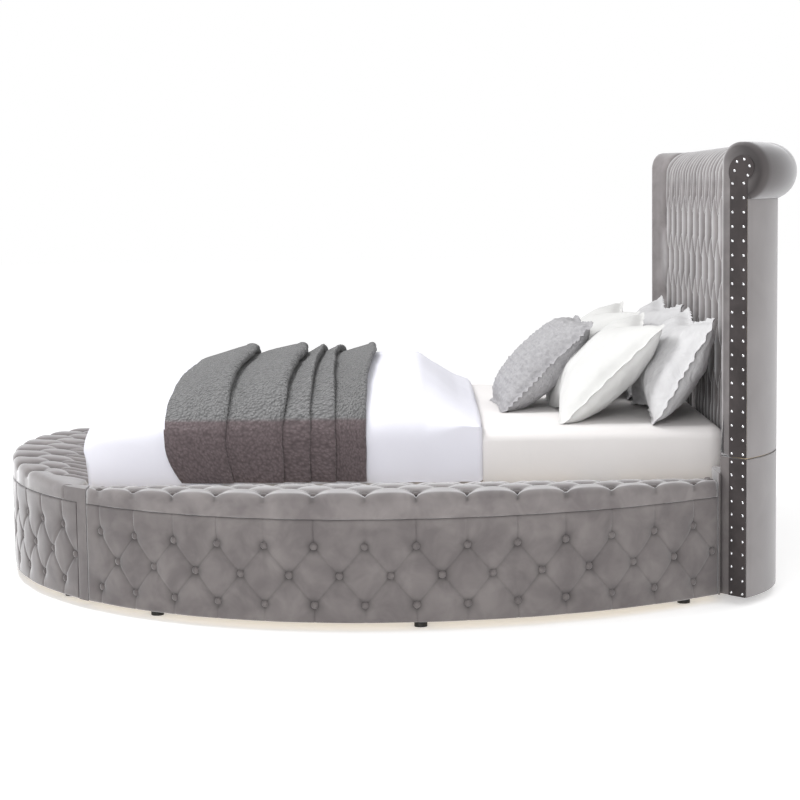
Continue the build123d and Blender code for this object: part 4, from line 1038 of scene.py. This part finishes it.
soft *= 1 - np.array([under_throw(y) for y in ys])[:, None]
sections = sections + section_normals(sections) * soft[..., None]
sections[..., 1] = np.maximum(sections[..., 1], HEM_Z)
bulge = FOOT_BULGE * np.clip((FOOT_FALL - ys) / 92, 0, 1)[:, None] ** 2
bulge = bulge * np.clip((sections[..., 1] - 430) / 50, 0, 1)
duvet = swept(
    "feather_duvet", np.stack([sections[..., 0], ys[:, None] - bulge, sections[..., 1]], -1), duvet_cotton,
)
shade(duvet, 60)
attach(duvet, "bed")
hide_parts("duvet")
print("duvet:", len(duvet.data.polygons), "faces")

# %% [markdown]
# ## The throw
# A quilted throw lies across the bed in long folds. Each fold rises slowly from the foot side and then
# tips over towards the pillows, leaving a dark slot beside it. The cloth is made as a strip of profile
# across the folds, which is laid over the duvet at every place across the bed and flattens down the sides.
# Its hanging corners at the foot swing a little towards the pillows.

# %% The throw's folds
fold_low = (-694.0, -494.0, -310.0, -223.0, -142.0, -46.0)
fold_skew = (20.0, 37.0, 40.0, 4.0, -27.0, 23.0)
FOLD_TOP, FOLD_SIDE, LIE = 42.0, 17.0, 3.0
CLOTH_THICK = 0.0024
NOSE_SHARE, NOSE_REACH = 0.87, 0.12
LAST_FOLD = len(fold_low) - 2


def fold_profile(last):
    """(share of the fold, height share) along the cloth: a slow rise, then a nose that tips over."""
    curve = []
    for t in np.linspace(0, 1, 15)[:-1]:
        curve.append((NOSE_SHARE * t, 0.94 * t**0.85))
    for turn in np.radians(np.linspace(-25, 90 if last else 180, 13)):
        curve.append((NOSE_SHARE + NOSE_REACH * math.sin(turn), 0.55 + 0.45 * math.cos(turn)))
    return curve


rows = [
    (fold, share, rise)
    for fold in range(LAST_FOLD + 1) for share, rise in fold_profile(fold == LAST_FOLD)
]
print("throw:", LAST_FOLD + 1, "folds in", len(rows), "rows")

# %% The throw's way over the bed
PATH_Y, THROW_HEM, LID_CLEAR = -300.0, HEM_Z + 4, 791.5
FLAT_X, FLAT_RUN = 776, 160
DROP_Z, DROP_RUN = 520, 150
half_x, half_z = duvet_section(PATH_Y)
hangs = half_z >= THROW_HEM
half_x, half_z = half_x[hangs], half_z[hangs]
path = np.concatenate([np.stack([-half_x[::-1], half_z[::-1]], -1), np.stack([half_x[1:], half_z[1:]], -1)])
way = np.gradient(path, axis=0)
out = np.stack([-way[:, 1], way[:, 0]], -1)
out /= np.linalg.norm(out, axis=1, keepdims=True)
length = np.concatenate([[0], np.cumsum(np.linalg.norm(np.diff(path, axis=0), axis=1))])
flatness = np.clip((FLAT_X - np.abs(path[:, 0])) / FLAT_RUN, 0, 1) ** 0.8
middle = 1 - np.abs(path[:, 0]) / DUVET_HALF
drop = np.clip((DROP_Z - path[:, 1]) / DROP_RUN, 0, 1)
print("throw:", round(length[-1]), "mm from hem to hem")

# %% Lay the throw
SWING, SWING_FOLDS, TOP_HALF = 58, 1.6, 760
grid = np.zeros((len(rows), len(path), 3))
for i, (fold, share, rise) in enumerate(rows):
    span = fold_low[fold + 1] - fold_low[fold]
    skew = fold_skew[fold] + share * (fold_skew[fold + 1] - fold_skew[fold])
    y = fold_low[fold] + share * span + skew * middle
    y = y + SWING * drop**2 * max(0, 1 - (fold + share) / SWING_FOLDS)
    tall = FOLD_SIDE * (0.55 + 0.45 * drop) + (min(1.0, span / 110) * FOLD_TOP - FOLD_SIDE * 0.55) * flatness
    high = LIE + rise * np.maximum(tall, 4)
    ridge = np.array([duvet_top(x, np.clip(v, -930, 320)) for x, v in zip(path[:, 0], y)])
    level = duvet_top(path[:, 0], np.full(len(path), PATH_Y))
    fall = np.where(np.abs(path[:, 0]) < TOP_HALF, ridge - level, 0)
    grid[i, :, 0] = path[:, 0] + out[:, 0] * high
    grid[i, :, 1] = y
    grid[i, :, 2] = path[:, 1] + out[:, 1] * high + fall
for i in range(grid.shape[0]):
    for j in range(grid.shape[1]):
        at = Vector(grid[i, j] / 90)
        grid[i, j, 1] += 5.0 * noise.noise(at)
        grid[i, j, 2] += 2.0 * noise.noise(at * 2.1) * flatness[j]
grid[..., 0] = np.clip(grid[..., 0], -LID_CLEAR, LID_CLEAR)
count, size = grid.shape[:2]
faces = [
    (i * size + j, i * size + j + 1, (i + 1) * size + j + 1, (i + 1) * size + j)
    for i in range(count - 1) for j in range(size - 1)
]
throw = mesh_object("quilted_throw", grid.reshape(-1, 3), faces, throw_cotton)
ridge_steps = np.linalg.norm(np.diff(grid[:, size // 2], axis=0), axis=1)
across_length = np.concatenate([[0], np.cumsum(ridge_steps)])
uv = throw.data.uv_layers.new(name="cloth")
place = np.stack(np.meshgrid(across_length * MM, length * MM, indexing="ij"), -1).reshape(-1, 2)
for loop in throw.data.loops:
    uv.data[loop.index].uv = place[loop.vertex_index]
thick = throw.modifiers.new("quilting", "SOLIDIFY")
thick.thickness, thick.offset = CLOTH_THICK, 0.0
apply_modifier(throw, thick)
shade(throw, 80)
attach(throw, "bed")
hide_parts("throw")

# %% [markdown]
# ## Pillows
# A pillow is two rectangles of cotton sewn round the edge and stuffed. The cloth solver blows up a thin flat
# case, which pinches its corners, and the result is filled out with a plain full shape, as feathers do.
# Then come soft dents, creases that run in from the seam, and the rippled edge that stands out past it.

# %% Pillow cases
EDGE_IN, EDGE_BOW, CORNER_IN = 0.97, 0.03, 0.045


def case_mesh(width, height, size):
    """Points, top faces, underside faces and the seam's points in order, of a thin flat case.

    Its sides bow in a little between the corners, and the corners are blunt.
    """
    nu, nv = int(width / size), int(height / size)
    points, index = [], {}
    for layer in (1, -1):
        for i in range(nu + 1):
            for j in range(nv + 1):
                edge = i in (0, nu) or j in (0, nv)
                key = (i, j, 0 if edge else layer)
                if key not in index:
                    u, v = 2 * i / nu - 1, 2 * j / nv - 1
                    puff = 0 if edge else 1 + 9.0 * (1 - u**4) * (1 - v**4)
                    blunt = EDGE_IN - CORNER_IN * (u * v) ** 6
                    index[key] = len(points)
                    points.append((
                        u * width / 2 * (blunt + EDGE_BOW * v * v),
                        v * height / 2 * (blunt + EDGE_BOW * u * u),
                        layer * puff,
                    ))
    halves = []
    for layer in (1, -1):
        half = []
        for i in range(nu):
            for j in range(nv):
                corners = ((i, j), (i + 1, j), (i + 1, j + 1), (i, j + 1))
                half.append(tuple(
                    index[a, b, 0 if a in (0, nu) or b in (0, nv) else layer] for a, b in corners
                ))
        halves.append(half)
    way = [(i, 0) for i in range(nu)] + [(nu, j) for j in range(nv)]
    way += [(i, nv) for i in range(nu, 0, -1)] + [(0, j) for j in range(nv, 0, -1)]
    return np.array(points), halves[0], halves[1], [index[i, j, 0] for i, j in way]


# %% Stuffing
SOLVED_SHARE = 0.4
STUFFING_FRAMES = 20


def stuffed(points, faces, width, height, thickness):
    """The case blown up by the cloth solver, then filled out part of the way to a plain full shape.
    """
    u, v = np.abs(points[:, 0]) / (width / 2), np.abs(points[:, 1]) / (height / 2)
    full = np.clip((1 - u**2.8) * (1 - v**2.4), 0, 1) ** 0.55
    plain = np.stack([points[:, 0], points[:, 1], np.sign(points[:, 2]) * thickness / 2 * full], -1)
    case = mesh_object("case_being_stuffed", points, faces, white_cotton)
    if case.data.polygons[0].normal.z < 0:
        case.data.flip_normals()
    cloth = case.modifiers.new("stuffing", "CLOTH")
    cloth.settings.quality = 6
    cloth.settings.mass = 0.3
    cloth.settings.tension_stiffness = cloth.settings.compression_stiffness = 18
    cloth.settings.bending_stiffness = 0.4
    cloth.settings.use_pressure = True
    cloth.settings.uniform_pressure_force = 4.0
    cloth.settings.effector_weights.gravity = 0.0
    cloth.settings.air_damping = 2.0
    for step in range(1, STUFFING_FRAMES + 1):
        bpy.context.scene.frame_set(step)
    bpy.ops.object.modifier_apply(modifier=cloth.name)
    bpy.context.scene.frame_set(1)
    blown = np.array([v.co[:] for v in case.data.vertices]) * 1000
    bpy.data.objects.remove(case)
    for axis, full in ((0, width), (1, height)):
        blown[:, axis] *= full / np.ptp(blown[:, axis])
    middle = np.abs(blown[:, 0]) < width * 0.2
    blown[:, 2] *= thickness / max(np.ptp(blown[middle, 2]), 1e-6)
    return SOLVED_SHARE * blown + (1 - SOLVED_SHARE) * plain


# %% Creases and gathers
GATHERED_ROWS = 14


def creased(points, width, height, amount, gathers=0.0):
    """Soft dents, creases that run in from the seam, and gathered rows where the cover has them."""
    made = points.copy()
    for k, (x, y, z) in enumerate(points):
        u, v = abs(x) / (width / 2), abs(y) / (height / 2)
        inside = max(0, 1 - u**8) * max(0, 1 - v**8)
        side = 4.0 if z < 0 else 0.0
        turn = math.atan2(y / height, x / width)
        run_in = 1 - 2 * abs(noise.noise(Vector((math.cos(turn) * 5.5, math.sin(turn) * 5.5, side))))
        near_seam = max(u, v) ** 3
        dents = noise.noise(Vector((x / 110, y / 90, side + 7)))
        dents += 0.4 * noise.noise(Vector((x / 36, y / 33, side)))
        lift = amount * (dents + 0.9 * near_seam * (run_in - 0.6))
        if gathers and z > 0:
            sway = 0.8 * noise.noise(Vector((x / 60, y / 60, 1)))
            rows = abs(math.sin(y / height * math.pi * GATHERED_ROWS + sway))
            pucker = noise.noise(Vector((x / 11, y / 30, 2)))
            gathered = gathers * (rows**0.5 - 0.8 + 0.8 * pucker * rows)
            lift += gathered
            made[k, 0] += math.copysign(gathered * u * u, x)
        made[k, 2] += math.copysign(lift * inside, z) if z else 0.0
    return made


# %% Frills


def frilled(points, top, under, seam, reach, ripple, wave):
    """Let a double edge of cloth stand out past the seam, rippled where it is gathered."""
    first = len(points)
    twin = {v: first + k for k, v in enumerate(seam)}
    line = points[seam]
    along = np.roll(line, -1, axis=0) - np.roll(line, 1, axis=0)
    out_way = np.cross(along, (0, 0, 1.0))
    out_way /= np.linalg.norm(out_way, axis=1, keepdims=True)
    out_way *= np.sign((out_way * line).sum(1))[:, None]
    run = np.cumsum(np.linalg.norm(along, axis=1)) / 2
    shift = np.array([noise.noise(Vector(p / 40)) for p in line])
    rise = ripple * np.sin(2 * math.pi * run / wave + 3 * shift) * (1 + shift)
    up = np.array([0, 0, 1.0])
    width_out = reach * (1 + 0.25 * shift)[:, None]
    twins = line - up
    middle = line + out_way * width_out / 2 + up * rise[:, None] / 2
    tip = line + out_way * width_out + up * rise[:, None]
    made = np.concatenate([points, twins, middle + up, middle - up, tip])
    made[seam, 2] += 1.0
    n = len(seam)
    faces = list(top) + [tuple(twin.get(v, v) for v in face) for face in under]
    for k in range(n):
        m = (k + 1) % n
        bands = [seam[k], first + n + k, first + 3 * n + k, first + 2 * n + k, first + k]
        others = [seam[m], first + n + m, first + 3 * n + m, first + 2 * n + m, first + m]
        for b in range(4):
            faces.append((bands[b], others[b], others[b + 1], bands[b + 1]))
    return made, faces


# %% Pillows in place
SINK, LYING = 18.0, MAT_TOP + 0.6


def pillow(name, node, width, height, thickness, place, lean_degrees, material,
           size=13.0, amount=5.0, gathers=0.0, frill=(10.0, 1.5, 60.0), turn_degrees=0.0):
    """One stuffed pillow that leans back on its lower edge, standing on the mattress."""
    points, top, under, seam = case_mesh(width, height, size)
    solved = stuffed(points, top + under, width, height, thickness)
    solved = creased(solved, width, height, amount, gathers)
    solved, faces = frilled(solved, top, under, seam, *frill)
    lean, turn = math.radians(lean_degrees), math.radians(turn_degrees)
    slant = np.array([[1, 0, 0], [0, math.cos(lean), math.sin(lean)], [0, -math.sin(lean), math.cos(lean)]])
    spin = np.array([[math.cos(turn), math.sin(turn), 0], [-math.sin(turn), math.cos(turn), 0], [0, 0, 1]])
    local = solved @ slant @ spin
    local[:, 2] += LYING - SINK - local[:, 2].min()
    low = LYING + 0.05 * (local[:, 2] - local[:, 2].min())
    local[:, 2] = np.maximum(local[:, 2], low)
    local[:, :2] += place
    solid = np.array(frame["nodes"][node].bound_box) * 1000
    print(name, "y and z:", local[:, 1:].min(0).round(), local[:, 1:].max(0).round(),
          "in the frame:", solid[:, 1:].min(0).round(), solid[:, 1:].max(0).round())
    case = mesh_object(name, local, faces, material)
    smooth = case.modifiers.new("smooth", "SUBSURF")
    smooth.levels = smooth.render_levels = 1
    apply_modifier(case, smooth)
    shade(case, 70)
    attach(case, "bed")
    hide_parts(node)


pillow(
    "ruffled_cushion", "pillow_ruffled", 450, 420, 165, (60, 560), 44, ruffle_cotton,
    size=6.0, amount=4.0, gathers=15.0, frill=(22.0, 6.0, 24.0), turn_degrees=3,
)
for name, node, x in (("white_pillow_near", "pillow_white", 335), ("white_pillow_far", "pillow_far", -385)):
    pillow(
        name, node, 650, 470, 190, (x, 758), 44, white_cotton,
        amount=6.0, frill=(14.0, 3.0, 70.0),
    )
for name, node, x in (("sham_near_case", "sham_near", 385), ("sham_far_case", "sham_far", -385)):
    pillow(
        name, node, 690, 375, 180, (x, 984), 60, sham_cotton,
        amount=13.0, frill=(24.0, 9.0, 36.0),
    )

# %% [markdown]
# ## What lies inside
# The boards, slats, hinges and feet keep their own shapes. They only need their real finish, for when a lid
# stands open.

# %% Finishes on the frame
inside = {
    birch: ("bench_wall", "bench_floor", "bench_ends", "lid_board"),
    pine: ("bench_rail", "headboard_upper", "slat_ledgers", "slats", "centre_rail", "joint_dowels"),
    zinc: ("hinge_leaf", "lid_hinge", "rail_brackets"),
    black_plastic: ("bench_feet", "centre_legs", "headboard_glides"),
}
for material, starts in inside.items():
    for name, node in frame["nodes"].items():
        if name.startswith(starts):
            for each in node.material_slots:
                each.material = material
print("finishes:", {material.name: starts for material, starts in inside.items()})

# %% [markdown]
# ## Stage, light and camera
# The floor is plain white paper that gives off a little light, so that it stays white. A soft light high at
# the foot end picks out every tuft, a closer one faces the headboard, one rims its back, one fills the side
# that faces the camera, and a broad faint sun lights the tops. The world is a white backdrop that lights
# the bed with part of its glow. The camera stands a little lower than the headboard's top, seven metres
# to the side, behind a long lens.

# %% Floor and backdrop
BED_LIGHT, SEEN_WHITE, PAPER_GLOW = 0.56, 1.0, 0.38
bpy.ops.mesh.primitive_plane_add(size=60.0, location=(0, 0, 0))
floor = bpy.context.object
floor.name = "studio_floor"
paper, tree, shader = new_material("seamless_paper")
where = add_node(tree, "ShaderNodeTexCoord")
mottle = add_node(tree, "ShaderNodeTexNoise", Vector=where.outputs["Object"], Scale=3.0)
tone = add_node(
    tree, "ShaderNodeMix", {"data_type": "RGBA"},
    i0=mottle.outputs["Fac"], i6=linear("#f4f4f4"), i7=linear("#f7f7f7"),
)
tree.links.new(tone.outputs[2], shader.inputs["Base Color"])
shader.inputs["Roughness"].default_value = 0.9
shader.inputs["Specular IOR Level"].default_value = 0.0
shader.inputs["Emission Color"].default_value = (1, 1, 1, 1)
shader.inputs["Emission Strength"].default_value = PAPER_GLOW
floor.data.materials.append(paper)
floor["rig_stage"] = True

world = bpy.data.worlds.new("studio")
bpy.context.scene.world = world
world.use_nodes = True
tree = world.node_tree
tree.nodes.clear()
ray = add_node(tree, "ShaderNodeLightPath")
glow = add_node(
    tree, "ShaderNodeMapRange", Value=ray.outputs["Is Camera Ray"], To_Min=BED_LIGHT, To_Max=SEEN_WHITE,
)
sky = add_node(tree, "ShaderNodeBackground", Color=(1, 1, 1, 1), Strength=glow.outputs["Result"])
add_node(tree, "ShaderNodeOutputWorld", Surface=sky.outputs["Background"])
bpy.context.scene.view_settings.view_transform = "Standard"
print("world: glow", BED_LIGHT, "on the bed,", SEEN_WHITE, "as seen")

# %% Lights


def area_light(name, place, target, size, power):
    """A round soft light, aimed at a point."""
    data = bpy.data.lights.new(name, "AREA")
    data.shape, data.size, data.energy = "DISK", size, power
    lamp = bpy.data.objects.new(name, data)
    bpy.context.scene.collection.objects.link(lamp)
    lamp.location = place
    lamp.rotation_euler = (Vector(target) - Vector(place)).to_track_quat("-Z", "Y").to_euler()


area_light("key_from_foot", (0.3, -1.8, 5.0), (0, 0.4, 0.6), 2.0, 70)
area_light("over_the_foot_end", (0.2, -1.5, 3.3), (0, 1.1, 0.9), 1.2, 45)
area_light("rim_from_head", (3.0, 4.5, 3.0), (0.6, 0.8, 0.7), 2.0, 30)
area_light("fill_by_camera", (6.5, -1.0, 1.6), (0, 0, 0.4), 3.0, 140)
data = bpy.data.lights.new("overhead", "SUN")
data.energy, data.angle = 0.45, math.radians(50)
overhead = bpy.data.objects.new("overhead", data)
bpy.context.scene.collection.objects.link(overhead)
overhead.rotation_euler = (math.radians(-14), math.radians(-12), 0)
print("lights:", [(lamp.name, lamp.energy) for lamp in bpy.data.lights])

# %% Camera
FOCAL_PX, IMAGE_PX, SENSOR_MM = 1984.0, 800.0, 36.0
yaw, pitch, roll = math.radians(-0.59), math.radians(6.05), math.radians(-0.8)
ahead = Vector((-math.cos(yaw) * math.cos(pitch), math.sin(yaw) * math.cos(pitch), -math.sin(pitch)))
right = ahead.cross(Vector((0, 0, 1))).normalized()
up = right.cross(ahead)
right, up = math.cos(roll) * right + math.sin(roll) * up, -math.sin(roll) * right + math.cos(roll) * up
data = bpy.data.cameras.new("photo_camera")
data.sensor_width, data.lens = SENSOR_MM, FOCAL_PX / IMAGE_PX * SENSOR_MM
data.clip_end = 100.0
camera = bpy.data.objects.new("photo_camera", data)
bpy.context.scene.collection.objects.link(camera)
place = Matrix((right, up, -ahead)).transposed().to_4x4()
place.translation = Vector((7.104, 0.132, 1.306))
camera.matrix_world = place
bpy.context.scene.camera = camera
print("camera:", round(data.lens, 2), "mm lens at", [round(v, 3) for v in place.translation])

# %% [markdown]
# ## Size
# The dressed bed's box is printed.

# %% Sizes and finish
low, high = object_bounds()
print("visual box", [round(v, 3) for v in (high - low)])
